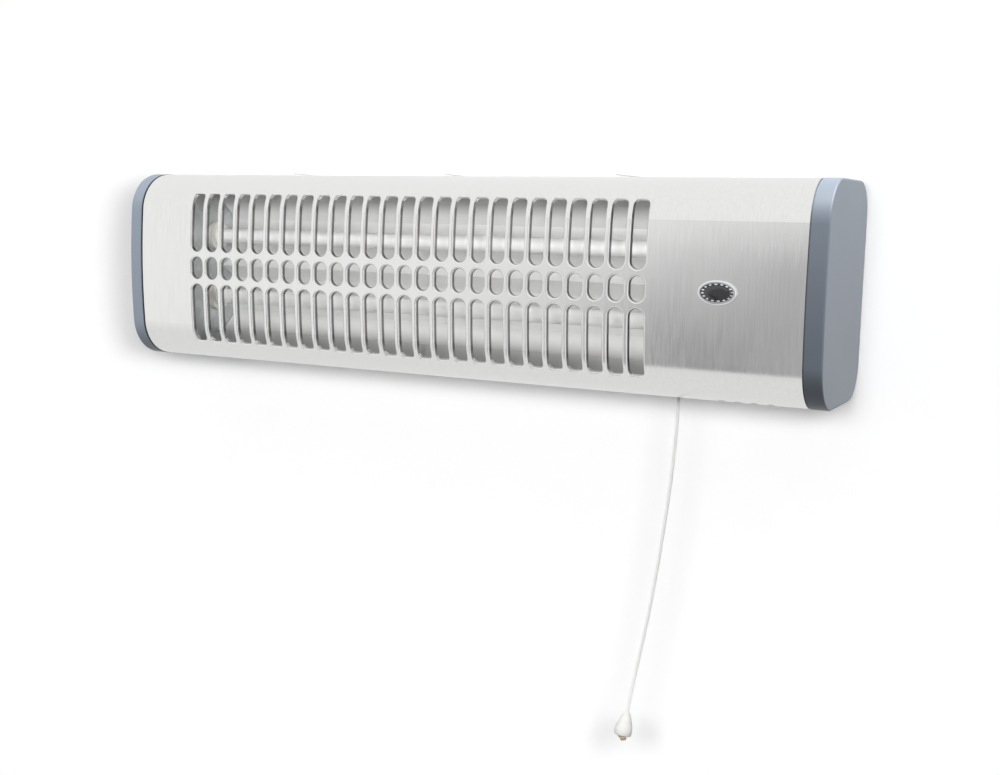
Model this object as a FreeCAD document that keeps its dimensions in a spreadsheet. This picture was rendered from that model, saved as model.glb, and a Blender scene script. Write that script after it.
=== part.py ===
"""Wall-mounted bathroom quartz heater with a pull-cord switch.

X runs along the heater, Y into the wall and Z up. The origin is the middle of the two wall
screw holes, on the wall's surface, so the whole heater lies at negative Y.
"""
import FreeCAD, Part
import math
import os
import re
import Sketcher

Vector = FreeCAD.Vector
Rotation = FreeCAD.Rotation
Placement = FreeCAD.Placement

SIZES = {
    # Housing
    "body_length": 460,
    "body_height": 125,
    "body_depth": 91,
    "front_radius": 473,
    "corner_radius": 26,
    "back_radius": 20,
    "shell_wall": 0.7,
    "back_setback": 3.5,
    "lip_width": 8.5,
    "seam_gap": 0.8,
    "fit_gap": 0.3,
    "hole_gap": 0.05,
    # End caps
    "cap_length": 10,
    "cap_wall": 2.2,
    "cap_proud": 0.2,
    "cap_edge_radius": 1,
    "spigot_length": 14,
    "boss_radius": 4,
    "boss_length": 12,
    # Grille
    "grille_margin": 43.8,
    "panel_width": 90,
    "slot_pitch": 12.65,
    "slot_width": 9.4,
    "slot_corner_radius": 2.5,
    "short_slot_height": 14.4,
    "slot_row_gap": 3.8,
    "slot_edge_margin": 13.7,
    "collar_depth": 3.2,
    "rim_radius": 1,
    # Vents in the top and underside
    "vent_length": 22,
    "vent_width": 5,
    "vent_spacing": 118,
    "vent_offset": -5,
    "vent_setback": 45,
    "louvre_rise": 2.2,
    "louvre_root": 0.6,
    # Slots in the lower corner that cool the switch
    "cooling_slot_length": 7,
    "cooling_slot_width": 3.5,
    "cooling_slot_pitch": 9.3,
    "cooling_slot_margin": 50,
    "cooling_slot_setback": 20.5,
    "cooling_slots": 4,
    # Back plate
    "plate_wall": 0.8,
    "plate_gap": 0.5,
    "recess_length": 220,
    "recess_depth": 5.3,
    "recess_margin": 6,
    "back_vent_height": 4,
    "back_vent_pitch": 8,
    "back_vent_margin": 17,
    "back_vent_recess_gap": 19.2,
    # Wall bracket
    "bracket_length": 200,
    "bracket_wall": 1.5,
    "bracket_drop": 12,
    "bracket_rise": 18,
    "mount_spacing": 160,
    "mount_hole_radius": 2.5,
    "hook_spacing": 100,
    "hook_width": 20,
    "hook_level": 12,
    "hook_reach": 12,
    "hook_rise": 8,
    "lift_travel": 9,
    # Screws
    "screw_radius": 1.5,
    "screw_head_radius": 2.8,
    "screw_head_height": 1.8,
    "screw_length": 7,
    "cross_length": 3.1,
    "cross_width": 0.8,
    "screw_spacing": 150,
    # Heating tubes
    "tube_edge": 41.5,
    "tube_setback": 39,
    "tube_radius": 5,
    "tube_wall": 1,
    "tube_margin_left": 33,
    "tube_margin_right": 90,
    "ceramic_radius": 7,
    "ceramic_length": 16,
    "ceramic_flange_radius": 9.5,
    "ceramic_flange": 3,
    "ceramic_nose": 2,
    "ceramic_end": 4,
    "pin_radius": 1.5,
    "pin_reach": 4.5,
    "pin_depth": 2,
    "coil_radius": 2.6,
    "coil_wire_radius": 0.4,
    "coil_turns": 40,
    "link_wall": 0.8,
    "link_width": 8,
    "link_standoff": 2,
    # Tube brackets and reflector
    "sheet_wall": 1,
    "bracket_front_gap": 13,
    "bracket_top_gap": 8.5,
    "bracket_back_gap": 12,
    "foot_length": 8,
    "foot_height": 60,
    "reflector_wall": 0.5,
    "ridge_setback": 45,
    "trough_depth": 24,
    "trough_bend": 3,
    "trough_half_width": 11.5,
    "reflector_lip": 8,
    # Thermal cut-out
    "cutout_radius": 7,
    "cutout_length": 6,
    "cutout_base_radius": 9,
    "cutout_base": 1.5,
    "cutout_setback": 25,
    "tab_length": 6,
    "tab_width": 4,
    "tab_wall": 0.8,
    # Pull switch
    "cord_margin": 79.3,
    "cord_setback": 33,
    "cord_radius": 0.9,
    "cord_hole_radius": 1.5,
    "switch_wall": 1.5,
    "switch_width": 20,
    "switch_front": 7,
    "switch_back": 8,
    "switch_height": 26,
    "switch_lift": 3.3,
    "plunger_half_width": 3,
    "plunger_length": 14,
    "plunger_headroom": 0.5,
    "gear_module": 0.75,
    "gear_teeth": 14,
    "gear_addendum": 0.6,
    "gear_clearance": 0.2,
    "gear_backlash": 0.25,
    "gear_width": 5,
    "gear_lead": 3,
    "disc_radius": 4,
    "disc_width": 2,
    "hub_radius": 2.5,
    "axle_radius": 1,
    "bridge_length": 9,
    "bridge_width": 3,
    "bridge_wall": 0.8,
    "contact_offset": 3.5,
    "spring_radius": 2.2,
    "spring_wire_radius": 0.3,
    "spring_turns": 4,
    "switch_arm_width": 16,
    "switch_arm_drop": 0.5,
    "switch_plate_height": 22,
    "switch_foot_height": 9,
    "switch_screw_length": 2.5,
    "switch_screw_margin": 3.5,
    # Cord guide and mains inlet
    "guide_radius": 3,
    "guide_flange_radius": 4.5,
    "guide_flange": 0.8,
    "guide_snap": 0.6,
    "inlet_margin": 25,
    "inlet_setback": 45,
    "inlet_radius": 5,
    "inlet_bore_radius": 3.6,
    "inlet_flange_radius": 7,
    "inlet_flange": 2,
    # Pull bell and knot
    "bell_radius": 5.45,
    "bell_rim_radius": 4.6,
    "bell_mouth_radius": 3.5,
    "bell_length": 14.5,
    "bell_neck_radius": 1.6,
    "bell_shoulder_radius": 3.4,
    "bell_shoulder": 4,
    "bell_hollow": 6,
    "bell_widest": 11,
    "knot_radius": 3.1,
    "knot_length": 9,
    # Indicator lamp
    "lamp_margin": 48.2,
    "lamp_height": 0.2,
    "bezel_length": 21.8,
    "bezel_height": 13.5,
    "bezel_ring": 1.6,
    "bezel_proud": 2,
    "bezel_neck": 7,
    "bezel_neck_inset": 0.8,
    "bezel_edge_radius": 0.8,
    "lens_depth": 4,
    "lens_sink": 0.8,
    "holder_length": 18.4,
    "holder_height": 12.6,
    "holder_depth": 18,
    "holder_wall": 1.5,
    "neon_radius": 2.5,
    "neon_length": 12,
    # Terminals
    "terminal_length": 24,
    "terminal_width": 16,
    "terminal_height": 14,
    "terminal_margin": 20,
    "terminal_level": 12,
    "terminal_pitch": 8,
    "terminal_screw_length": 9,
    "earth_margin": 32,
    "earth_level": -10,
    "washer_radius": 4,
    "washer_wall": 1,
    "wire_radius": 1,
}

# The pull cord below its exit, as steps from the exit
CORD_DROP = [(0, 0, -9.5), (-2.4, 0, -47.5), (-7.9, 0, -95.5), (-14.1, 0, -137.5), (-21, -2, -176),
             (-22.1, -8, -193.9)]

doc = FreeCAD.newDocument("BathroomHeater")
sheet = doc.addObject("Spreadsheet::Sheet", "Sizes")
for row, (alias, number) in enumerate(SIZES.items(), start=1):
    sheet.set(f"A{row}", alias.replace("_", " "))
    sheet.set(f"B{row}", str(number))
    sheet.setAlias(f"B{row}", alias)
doc.recompute()
nodes = []


def size(alias):
    """A size's value, read from the sheet."""
    return float(sheet.get(alias))


def cell(formula):
    """A formula of sizes with each name pointed at its cell."""
    return re.sub(r"[a-z]\w+", lambda word: "Sizes." + word.group(), formula)


def keep(item):
    """Hand a finished sub-part in as a node."""
    nodes.append(item)
    return item


TURN_TO = {
    "x": Rotation(Vector(0, 0, 1), Vector(1, 0, 0)),
    "y": Rotation(Vector(0, 0, 1), Vector(0, 1, 0)),
    "z": Rotation(),
}


def block(label, length, width, height, corner):
    """A box with sides bound to the sheet, placed by its lowest corner."""
    box = doc.addObject("Part::Box", label)
    box.setExpression("Length", cell(length))
    box.setExpression("Width", cell(width))
    box.setExpression("Height", cell(height))
    box.Placement.Base = Vector(*corner)
    return box


def rod(label, radius, length, start, axis):
    """A round bar along an axis, bound to the sheet, placed by its start."""
    bar = doc.addObject("Part::Cylinder", label)
    bar.setExpression("Radius", cell(radius))
    bar.setExpression("Height", cell(length))
    bar.Placement = Placement(Vector(*start), TURN_TO[axis])
    return bar


def fused(label, parts):
    joined = doc.addObject("Part::MultiFuse", label)
    joined.Shapes = parts
    joined.Refine = True
    return joined


def less(label, base, tools):
    """A base with its tools cut away."""
    carved = doc.addObject("Part::Cut", label)
    carved.Base = base
    carved.Tool = tools[0] if len(tools) == 1 else fused(label + "_tools", tools)
    return carved


def formed(label, shape):
    """A sub-part whose shape is worked out here from the sheet's sizes."""
    item = doc.addObject("Part::Feature", label)
    item.Shape = shape
    return item


def turned(label, profile, place):
    """A turned body: its profile's points are radius and height formulas, round a vertical axis."""
    body = doc.addObject("PartDesign::Body", label)
    plane = next(item for item in body.Origin.OriginFeatures if item.Role == "XZ_Plane")
    sketch = body.newObject("Sketcher::SketchObject", label + "_profile")
    sketch.AttachmentSupport = (plane, [""])
    sketch.MapMode = "FlatFace"
    count = len(profile)
    start = [Vector(2 + math.cos(math.tau * i / count), math.sin(math.tau * i / count)) for i in range(count)]
    for i in range(count):
        sketch.addGeometry(Part.LineSegment(start[i], start[(i + 1) % count]), False)
    for i in range(count):
        sketch.addConstraint(Sketcher.Constraint("Coincident", i, 2, (i + 1) % count, 1))
    for i, (radius, height) in enumerate(profile):
        for kind, formula in (("DistanceX", radius), ("DistanceY", height)):
            number = sketch.addConstraint(Sketcher.Constraint(kind, -1, 1, i, 1, 1.0))
            sketch.setExpression(f"Constraints[{number}]", cell(formula))
    turn = body.newObject("PartDesign::Revolution", label + "_turn")
    turn.Profile = sketch
    turn.ReferenceAxis = (sketch, ["V_Axis"])
    turn.Angle = 360
    body.Placement = place
    return body


# Places that several sub-parts share
half_length = size("body_length") / 2
half_height = size("body_height") / 2
shell_end = half_length - size("seam_gap")
front_y = -size("body_depth")
lip_y = -size("back_setback")
plate_back_y = lip_y + size("plate_wall")
lip_outer_z = half_height - size("back_radius")
lip_inner_z = lip_outer_z - size("lip_width")
lip_screw_z = (lip_outer_z + lip_inner_z) / 2
cap_screw_x = half_length - size("spigot_length") / 2
floor_z = -half_height + size("shell_wall")
tube_y = front_y + size("tube_setback")
tube_z = half_height - size("tube_edge")
tube_left = -half_length + size("tube_margin_left")
tube_right = half_length - size("tube_margin_right")
cord_x = half_length - size("cord_margin")
cord_y = front_y + size("cord_setback")
inlet_x = half_length - size("inlet_margin")
inlet_y = -size("inlet_setback")
lamp_x = half_length - size("lamp_margin")
lamp_z = size("lamp_height")
arc_centre_y = front_y + size("front_radius")
corner_z = half_height - size("corner_radius")
corner_y = arc_centre_y - math.sqrt((size("front_radius") - size("corner_radius")) ** 2 - corner_z ** 2)


def outline(inset, back, x):
    """The housing's outline across X, inset all round, with its flat back at y = -back."""
    front = size("front_radius") - inset
    corner = size("corner_radius") - inset
    rear = size("back_radius") - inset
    lean = Vector(0, corner_y - arc_centre_y, corner_z).normalize()
    rear_y = -back - rear
    rear_z = half_height - inset - rear

    def corner_points(side):
        centre = Vector(x, corner_y, side * corner_z)
        out = Vector(0, lean.y, side * lean.z)
        up = Vector(0, 0, side)
        meet = Vector(x, arc_centre_y, 0) + out * front
        middle = centre + (out + up).normalize() * corner
        return meet, middle, centre + up * corner

    def rear_points(side):
        centre = Vector(x, rear_y, side * rear_z)
        slant = Vector(0, 1, side).normalize()
        return centre + Vector(0, 0, side * rear), centre + slant * rear, centre + Vector(0, rear, 0)

    top_meet, top_middle, top_end = corner_points(1)
    low_meet, low_middle, low_end = corner_points(-1)
    rear_top, rear_top_middle, rear_top_end = rear_points(1)
    rear_low, rear_low_middle, rear_low_end = rear_points(-1)
    crown = Vector(x, arc_centre_y - front, 0)
    edges = [
        Part.Arc(low_meet, crown, top_meet),
        Part.Arc(top_meet, top_middle, top_end),
        Part.LineSegment(top_end, rear_top),
        Part.Arc(rear_top, rear_top_middle, rear_top_end),
        Part.LineSegment(rear_top_end, rear_low_end),
        Part.Arc(rear_low_end, rear_low_middle, rear_low),
        Part.LineSegment(rear_low, low_end),
        Part.Arc(low_end, low_middle, low_meet),
    ]
    return Part.Wire([edge.toShape() for edge in edges])


def bar(inset, back, x_start, x_end):
    """The housing's outline run along X as a solid bar."""
    return Part.Face(outline(inset, back, x_start)).extrude(Vector(x_end - x_start, 0, 0))


def rounded_slot(low, high, half, low_radius, high_radius):
    """A slot's outline across Y at x = 0, with its own corner radius at each end."""
    y = front_y - size("bezel_proud")
    slant = 1 - math.sqrt(0.5)

    def point(across, along):
        return Vector(across, y, along)

    def bend(side, end, radius, inward):
        first = point(side * half, end + inward * radius)
        middle = point(side * (half - radius * slant), end + inward * radius * slant)
        return Part.Arc(first, middle, point(side * (half - radius), end)).toShape()

    low_left, low_right = bend(-1, low, low_radius, 1), bend(1, low, low_radius, 1)
    high_left, high_right = bend(-1, high, high_radius, -1), bend(1, high, high_radius, -1)
    edges = [low_left, low_right, high_left, high_right]
    edges.append(Part.makeLine(point(-half, low + low_radius), point(-half, high - high_radius)))
    edges.append(Part.makeLine(point(half, low + low_radius), point(half, high - high_radius)))
    for end, radius in ((low, low_radius), (high, high_radius)):
        if half - radius > 0.001:
            edges.append(Part.makeLine(point(radius - half, end), point(half - radius, end)))
    return Part.Wire(Part.__sortEdges__(edges))


def slot_prisms(grow):
    """One column's three slots, as prisms through the front, grown all round."""
    half = size("slot_width") / 2
    short = size("short_slot_height") / 2
    inner = short + size("slot_row_gap")
    outer = half_height - size("slot_edge_margin")
    corner = size("slot_corner_radius")
    rows = [(inner, outer, half, corner), (-short, short, half, half), (-outer, -inner, corner, half)]
    prisms = []
    for low, high, low_radius, high_radius in rows:
        wire = rounded_slot(low - grow, high + grow, half + grow, low_radius + grow, high_radius + grow)
        prisms.append(Part.Face(wire).extrude(Vector(0, size("corner_radius"), 0)))
    return prisms


def on_front(point):
    """Whether a point lies on the shell's outer front or its rounded corners."""
    front = math.hypot(point.y - arc_centre_y, point.z) - size("front_radius")
    corner = math.hypot(point.y - corner_y, abs(point.z) - corner_z) - size("corner_radius")
    return min(abs(front), abs(corner)) < 0.002


def grille_strip():
    """One pitch of the front shell: three slots with drawn collars and rounded rims."""
    half = size("slot_pitch") / 2
    wall = size("shell_wall")
    setback = size("back_setback")
    strip = bar(0, setback, -half, half).cut(bar(wall, setback + wall, -half - 1, half + 1))
    deep = size("collar_depth")
    band = bar(0, setback, -half, half).cut(bar(deep, setback + deep, -half - 1, half + 1))
    strip = strip.fuse([band.common(prism) for prism in slot_prisms(wall)])
    strip = strip.cut(slot_prisms(0))
    rims = []
    for edge in strip.Edges:
        middle = edge.valueAt((edge.FirstParameter + edge.LastParameter) / 2)
        inside = abs(middle.x) < size("slot_width") / 2 + 0.001
        if inside and all(on_front(point) for point in [middle] + [end.Point for end in edge.Vertexes]):
            rims.append(edge)
    return strip.makeFillet(size("rim_radius"), rims)


grille_start = -half_length + size("grille_margin")
grille_room = half_length - size("panel_width") - grille_start
columns = int((grille_room - size("slot_width")) / size("slot_pitch")) + 1
column_x = [grille_start + size("slot_width") / 2 + i * size("slot_pitch") for i in range(columns)]
vent_x = [size("vent_offset") + i * size("vent_spacing") for i in (-1, 0, 1)]
cooling_start = half_length - size("cooling_slot_margin")
cooling_x = [cooling_start + i * size("cooling_slot_pitch") for i in range(int(size("cooling_slots")))]


def vent(x, y, length, width):
    """A round-ended vent through the underside."""
    reach = (length - width) / 2
    round_end = width / 2
    tall = size("corner_radius") / 2
    base = -half_height - tall / 2
    ends = [Part.makeCylinder(round_end, tall, Vector(x + side * reach, y, base)) for side in (-1, 1)]
    middle = Part.makeBox(2 * reach, width, tall, Vector(x - reach, y - round_end, base))
    return middle.fuse(ends)


def louvre(x):
    """A top vent's opening, and its tab of sheet bent up from the opening's right-hand end."""
    wall = size("shell_wall")
    length = size("vent_length")
    width = size("vent_width")
    gap = size("fit_gap")
    hinge = Vector(x + length / 2, -size("vent_setback"), half_height)
    opening = Part.makeBox(length, width, 2 * wall, Vector(-length, -width / 2, -1.5 * wall))
    tab = Part.makeBox(length + size("louvre_root") - gap, width - 2 * gap, wall,
                       Vector(gap - length, gap - width / 2, -wall))
    tab.rotate(Vector(), Vector(0, 1, 0), math.degrees(math.asin(size("louvre_rise") / length)))
    return opening.translated(hinge), tab.translated(hinge)


def ellipse_prism(length, height, start_y, end_y):
    """An oval bar across the front at the indicator lamp."""
    major = Vector(lamp_x + length / 2, start_y, lamp_z)
    minor = Vector(lamp_x, start_y, lamp_z + height / 2)
    oval = Part.Ellipse(major, minor, Vector(lamp_x, start_y, lamp_z))
    return Part.Face(Part.Wire(oval.toShape())).extrude(Vector(0, end_y - start_y, 0))


def screw_hole(x, z, depth, radius):
    """A hole along Y into the back."""
    return Part.makeCylinder(radius, depth, Vector(x, -depth, z), Vector(0, 1, 0))


clear_radius = size("screw_radius") + size("hole_gap")
shell_screw_spots = [(x * size("screw_spacing"), side * lip_screw_z) for x in (-1, 0, 1) for side in (-1, 1)]
cap_screw_spots = [(end * cap_screw_x, side * lip_screw_z) for end in (-1, 1) for side in (-1, 1)]
bezel_neck_length = size("bezel_length") - 2 * size("bezel_neck_inset")
bezel_neck_height = size("bezel_height") - 2 * size("bezel_neck_inset")


def make_front_shell():
    wall = size("shell_wall")
    setback = size("back_setback")
    first = column_x[0] - size("slot_pitch") / 2
    last = column_x[-1] + size("slot_pitch") / 2
    pieces = []
    for start, end in ((-shell_end, first), (last, shell_end)):
        pieces.append(bar(0, setback, start, end).cut(bar(wall, setback + wall, start - 1, end + 1)))
    strip = grille_strip()
    for x in column_x:
        pieces.append(strip.translated(Vector(x, 0, 0)))
    shell = pieces[0].fuse(pieces[1:]).removeSplitter()
    opening = Part.makeBox(size("body_length"), setback + wall + 1, 2 * lip_inner_z,
                           Vector(-half_length, -setback - wall - 0.5, -lip_inner_z))
    gap = size("fit_gap")
    bezel_hole = ellipse_prism(bezel_neck_length + gap, bezel_neck_height + gap, front_y - 1, front_y + 3)
    tools = [opening, bezel_hole]
    tall = size("corner_radius") / 2
    for x, y, alias in ((cord_x, cord_y, "guide_radius"), (inlet_x, inlet_y, "inlet_radius")):
        spot = Vector(x, y, -half_height - tall / 2)
        tools.append(Part.makeCylinder(size(alias) + size("hole_gap"), tall, spot))
    tabs = []
    for x in vent_x:
        top_opening, tab = louvre(x)
        tabs.append(tab)
        tools.append(top_opening)
        tools.append(vent(x, -size("vent_setback"), size("vent_length"), size("vent_width")))
    for x in cooling_x:
        tools.append(vent(x, front_y + size("cooling_slot_setback"), size("cooling_slot_length"),
                          size("cooling_slot_width")))
    for x, z in shell_screw_spots + cap_screw_spots:
        tools.append(screw_hole(x, z, setback + wall + 1, clear_radius))
    return shell.cut(tools).fuse(tabs).removeSplitter()


def make_end_cap(side):
    wall = size("cap_wall")
    inset = size("shell_wall") + size("fit_gap")
    back = size("back_setback") + inset
    outer_x = half_length + size("cap_length")
    inner_x = half_length - size("spigot_length")
    rim = bar(-size("cap_proud"), 0, half_length, outer_x)
    face_edges = [edge for edge in rim.Edges if all(abs(end.X - outer_x) < 0.001 for end in edge.Vertexes)]
    rim = rim.makeFillet(size("cap_edge_radius"), face_edges)
    cap = rim.fuse(bar(inset, back, inner_x, half_length + wall))
    cap = cap.cut(bar(inset + wall, back + wall, inner_x - 1, outer_x - wall))
    for z in (-lip_screw_z, lip_screw_z):
        boss = Part.makeCylinder(size("boss_radius"), size("boss_length"),
                                 Vector(cap_screw_x, -back, z), Vector(0, -1, 0))
        cap = cap.fuse(boss)
        cap = cap.cut(screw_hole(cap_screw_x, z, size("screw_length") + size("boss_radius"), clear_radius))
    if side < 0:
        return cap.mirror(Vector(), Vector(1, 0, 0))
    return cap


def screw(x, y, z, length):
    """A cross-head screw along Y: its head stands on y and its shank runs towards the front."""
    head_radius = size("screw_head_radius")
    tall = size("screw_head_height")
    head = Part.makeCylinder(head_radius, tall, Vector(), Vector(0, 1, 0))
    crown = [edge for edge in head.Edges if edge.Curve.TypeId == "Part::GeomCircle"
             and abs(edge.Curve.Center.y - tall) < 0.001]
    head = head.makeFillet(tall / 3, crown)
    arm = size("cross_length")
    blade = size("cross_width")
    for wide, high in ((arm, blade), (blade, arm)):
        recess = Part.makeBox(wide, tall, high, Vector(-wide / 2, tall / 2, -high / 2))
        head = head.cut(recess)
    shank = Part.makeCylinder(size("screw_radius"), length, Vector(), Vector(0, -1, 0))
    return head.fuse(shank).translated(Vector(x, y, z))


def screw_group(label, spots, y, length):
    return keep(formed(label, Part.makeCompound([screw(x, y, z, length) for x, z in spots])))


# Housing
keep(formed("front_shell", make_front_shell()))
keep(formed("end_cap_left", make_end_cap(-1)))
keep(formed("end_cap_right", make_end_cap(1)))
screw_group("shell_screws", shell_screw_spots, plate_back_y, size("screw_length"))
screw_group("cap_screws", cap_screw_spots, plate_back_y, size("screw_length"))

# Back plate with its pressed recess for the wall bracket
foot_mid = size("sheet_wall") + size("foot_length") / 2
foot_screw_z = size("foot_height") / 3
bracket_screw_spots = [(x, side * foot_screw_z) for x in (tube_left - foot_mid, tube_right + foot_mid)
                       for side in (-1, 1)]
switch_left = cord_x - size("plunger_half_width") - size("fit_gap")
switch_floor = floor_z + size("switch_lift") + size("switch_wall")
switch_ceiling = switch_floor + size("switch_height")
switch_back_y = cord_y + size("switch_back") + size("switch_wall")
arm_x = switch_left + (size("switch_width") - size("switch_arm_width")) / 2
arm_top = switch_ceiling + size("switch_wall") - size("switch_arm_drop")
arm_screw_z = arm_top + (size("switch_foot_height") - size("sheet_wall")) / 2
for share in (0.25, 0.75):
    bracket_screw_spots.append((arm_x + share * size("switch_arm_width"), arm_screw_z))
earth_x = half_length - size("earth_margin")
earth_z = size("earth_level")
recess_z = lip_inner_z - size("recess_margin")
recess_floor_y = lip_y - size("recess_depth")
hook_x = size("hook_spacing") / 2
hook_z = size("hook_level")


def make_back_plate():
    edge_z = lip_outer_z - size("plate_gap")
    wall = size("plate_wall")
    plate_height = "body_height - 2 * (back_radius + plate_gap)"
    recess_height = "body_height - 2 * (back_radius + lip_width + recess_margin)"
    sheet_x = -half_length + size("plate_gap")
    flat = block("plate_flat", "body_length - 2 * plate_gap", "plate_wall", plate_height,
                 (sheet_x, lip_y, -edge_z))
    tray_x = -size("recess_length") / 2 - wall
    tray = block("plate_tray", "recess_length + 2 * plate_wall", "recess_depth + plate_wall",
                 recess_height + " + 2 * plate_wall", (tray_x, recess_floor_y, -recess_z - wall))
    hollow = block("plate_hollow", "recess_length", "recess_depth + plate_wall", recess_height,
                   (tray_x + wall, recess_floor_y + wall, -recess_z))
    tools = [hollow]
    slot_low = hook_z - size("bracket_wall") - size("lift_travel") - size("fit_gap")
    for side in (-1, 1):
        left = side * hook_x - size("hook_width") / 2 - size("fit_gap")
        tools.append(block("hook_slot", "hook_width + 2 * fit_gap", "recess_depth",
                           "bracket_wall + lift_travel + 2 * fit_gap",
                           (left, recess_floor_y - wall, slot_low)))
    for x, z in shell_screw_spots + cap_screw_spots + bracket_screw_spots + [(earth_x, earth_z)]:
        tools.append(rod("plate_hole", "screw_radius + hole_gap", "recess_depth + 2 * plate_wall",
                         (x, recess_floor_y, z), "y"))
    vent_left = tube_left + size("back_vent_margin")
    vent_run = ("(body_length - recess_length) / 2 - plate_wall - tube_margin_left"
                " - back_vent_margin - back_vent_recess_gap")
    for step in (-2, -1, 0, 1, 2):
        low = step * size("back_vent_pitch") - size("back_vent_height") / 2
        tools.append(block("back_vent", vent_run, "recess_depth + 2 * plate_wall", "back_vent_height",
                           (vent_left, recess_floor_y, low)))
    return less("back_plate", fused("plate_pressing", [flat, tray]), tools)


def make_wall_bracket():
    wall = size("bracket_wall")
    low = -size("bracket_drop")
    parts = [block("bracket_strip", "bracket_length", "bracket_wall", "bracket_drop + bracket_rise",
                   (-size("bracket_length") / 2, -wall, low))]
    for side in (-1, 1):
        left = side * hook_x - size("hook_width") / 2
        parts.append(block("hook_tongue", "hook_width", "hook_reach", "bracket_wall",
                           (left, -size("hook_reach"), hook_z - wall)))
        parts.append(block("hook_tip", "hook_width", "bracket_wall", "hook_rise + bracket_wall",
                           (left, -size("hook_reach"), hook_z - wall)))
    tools = []
    for side in (-1, 1):
        spot = (side * size("mount_spacing") / 2, -2 * wall, 0)
        tools.append(rod("mount_hole", "mount_hole_radius", "3 * bracket_wall", spot, "y"))
    return less("wall_bracket", fused("bracket_pressing", parts), tools)


keep(make_back_plate())
keep(make_wall_bracket())


def make_tube_bracket(label, inner_x, side):
    """An upright sheet that carries the tubes' ends, with a foot on the back plate."""
    wall = size("sheet_wall")
    low_x = min(inner_x, inner_x + side * wall)
    half = half_height - size("bracket_top_gap")
    front = front_y + size("bracket_front_gap")
    foot_x = min(inner_x, inner_x + side * (wall + size("foot_length")))
    foot_low = -size("foot_height") / 2
    upright = block(label + "_upright", "sheet_wall", "body_depth - bracket_front_gap - bracket_back_gap",
                    "body_height - 2 * bracket_top_gap", (low_x, front, -half))
    web = block(label + "_web", "sheet_wall", "bracket_back_gap - back_setback", "foot_height",
                (low_x, -size("bracket_back_gap"), foot_low))
    foot = block(label + "_foot", "foot_length + sheet_wall", "sheet_wall", "foot_height",
                 (foot_x, lip_y - wall, foot_low))
    tools = []
    for level in (-tube_z, tube_z):
        tools.append(rod(label + "_tube_hole", "ceramic_radius + fit_gap / 2", "3 * sheet_wall",
                         (low_x - wall, tube_y, level), "x"))
    for level in (-foot_screw_z, foot_screw_z):
        spot = (inner_x + side * foot_mid, lip_y - 2 * wall, level)
        tools.append(rod(label + "_screw_hole", "screw_radius + hole_gap", "3 * sheet_wall", spot, "y"))
    return keep(less(label, fused(label + "_blank", [upright, web, foot]), tools))


def make_reflector():
    """A bent sheet with a trough behind each tube and a ridge between them."""
    ridge = front_y + size("ridge_setback")
    floor = tube_y + size("trough_depth")
    bend = floor - size("trough_bend")
    mouth = front_y + size("bracket_front_gap")
    edge = half_height - size("bracket_top_gap") - size("reflector_wall")
    half = size("trough_half_width")
    lip = edge - size("reflector_lip")
    upper = [(bend, tube_z - half), (floor, tube_z), (bend, tube_z + half), (ridge, lip), (mouth, edge)]
    lower = [(y, -z) for y, z in reversed(upper)]
    start = tube_left + size("fit_gap")
    points = [Vector(start, y, z) for y, z in lower + [(ridge, 0)] + upper]
    sheet_face = Part.makePolygon(points).makeOffset2D(size("reflector_wall"), 2, True, True)
    return sheet_face.extrude(Vector(tube_right - size("fit_gap") - start, 0, 0))


make_tube_bracket("tube_bracket_left", tube_left, -1)
make_tube_bracket("tube_bracket_right", tube_right, 1)
screw_group("bracket_screws", bracket_screw_spots, plate_back_y, size("screw_length"))
keep(formed("reflector", make_reflector()))

CERAMIC_PROFILE = [
    ("tube_radius + fit_gap / 2", "-ceramic_flange - ceramic_nose"),
    ("ceramic_radius", "-ceramic_flange - ceramic_nose"),
    ("ceramic_radius", "-ceramic_flange"),
    ("ceramic_flange_radius", "-ceramic_flange"),
    ("ceramic_flange_radius", "0"),
    ("ceramic_radius", "0"),
    ("ceramic_radius", "ceramic_length - ceramic_flange - ceramic_nose"),
    ("pin_radius + hole_gap", "ceramic_length - ceramic_flange - ceramic_nose"),
    ("pin_radius + hole_gap", "ceramic_length - ceramic_flange - ceramic_nose - ceramic_end"),
    ("tube_radius + fit_gap / 2", "ceramic_length - ceramic_flange - ceramic_nose - ceramic_end"),
]
ceramic_reach = size("ceramic_length") - size("ceramic_flange") - size("ceramic_nose")
bore_reach = ceramic_reach - size("ceramic_end")


def arc_by_tangent(start, end, apex):
    """The arc from start to end whose end tangents meet at the apex."""
    half = (end - start).Length / 2
    middle = (start + end) / 2
    turn = math.acos(min(1, half / (apex - start).Length))
    return Part.Arc(start, middle + (apex - middle).normalize() * half * math.tan(turn / 2), end).toShape()


def helix(radius, length, turns):
    """A helix up Z as two tangent arcs to each half turn."""
    rise = length / (2 * turns)

    def station(step):
        angle = math.pi * step
        point = Vector(radius * math.cos(angle), radius * math.sin(angle), rise * step)
        slope = Vector(-radius * math.sin(angle), radius * math.cos(angle), rise / math.pi).normalize()
        return point, slope

    edges = []
    for step in range(int(2 * turns)):
        start, leave = station(step)
        end, arrive = station(step + 1)
        span = end - start
        both = leave + arrive
        spread = 2 * (1 - leave.dot(arrive))
        reach = (-span.dot(both) + math.sqrt(span.dot(both) ** 2 + spread * span.dot(span))) / spread
        joint = (start + end + (leave - arrive) * reach) / 2
        edges.append(arc_by_tangent(start, joint, start + leave * reach))
        edges.append(arc_by_tangent(joint, end, end - arrive * reach))
    return Part.Wire(edges)


def swept(path, radius):
    """A round bar along a path."""
    first = path.OrderedEdges[0]
    start = first.valueAt(first.FirstParameter)
    ring = Part.Wire(Part.makeCircle(radius, start, first.tangentAt(first.FirstParameter)))
    return path.makePipeShell([ring], True, False)


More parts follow.
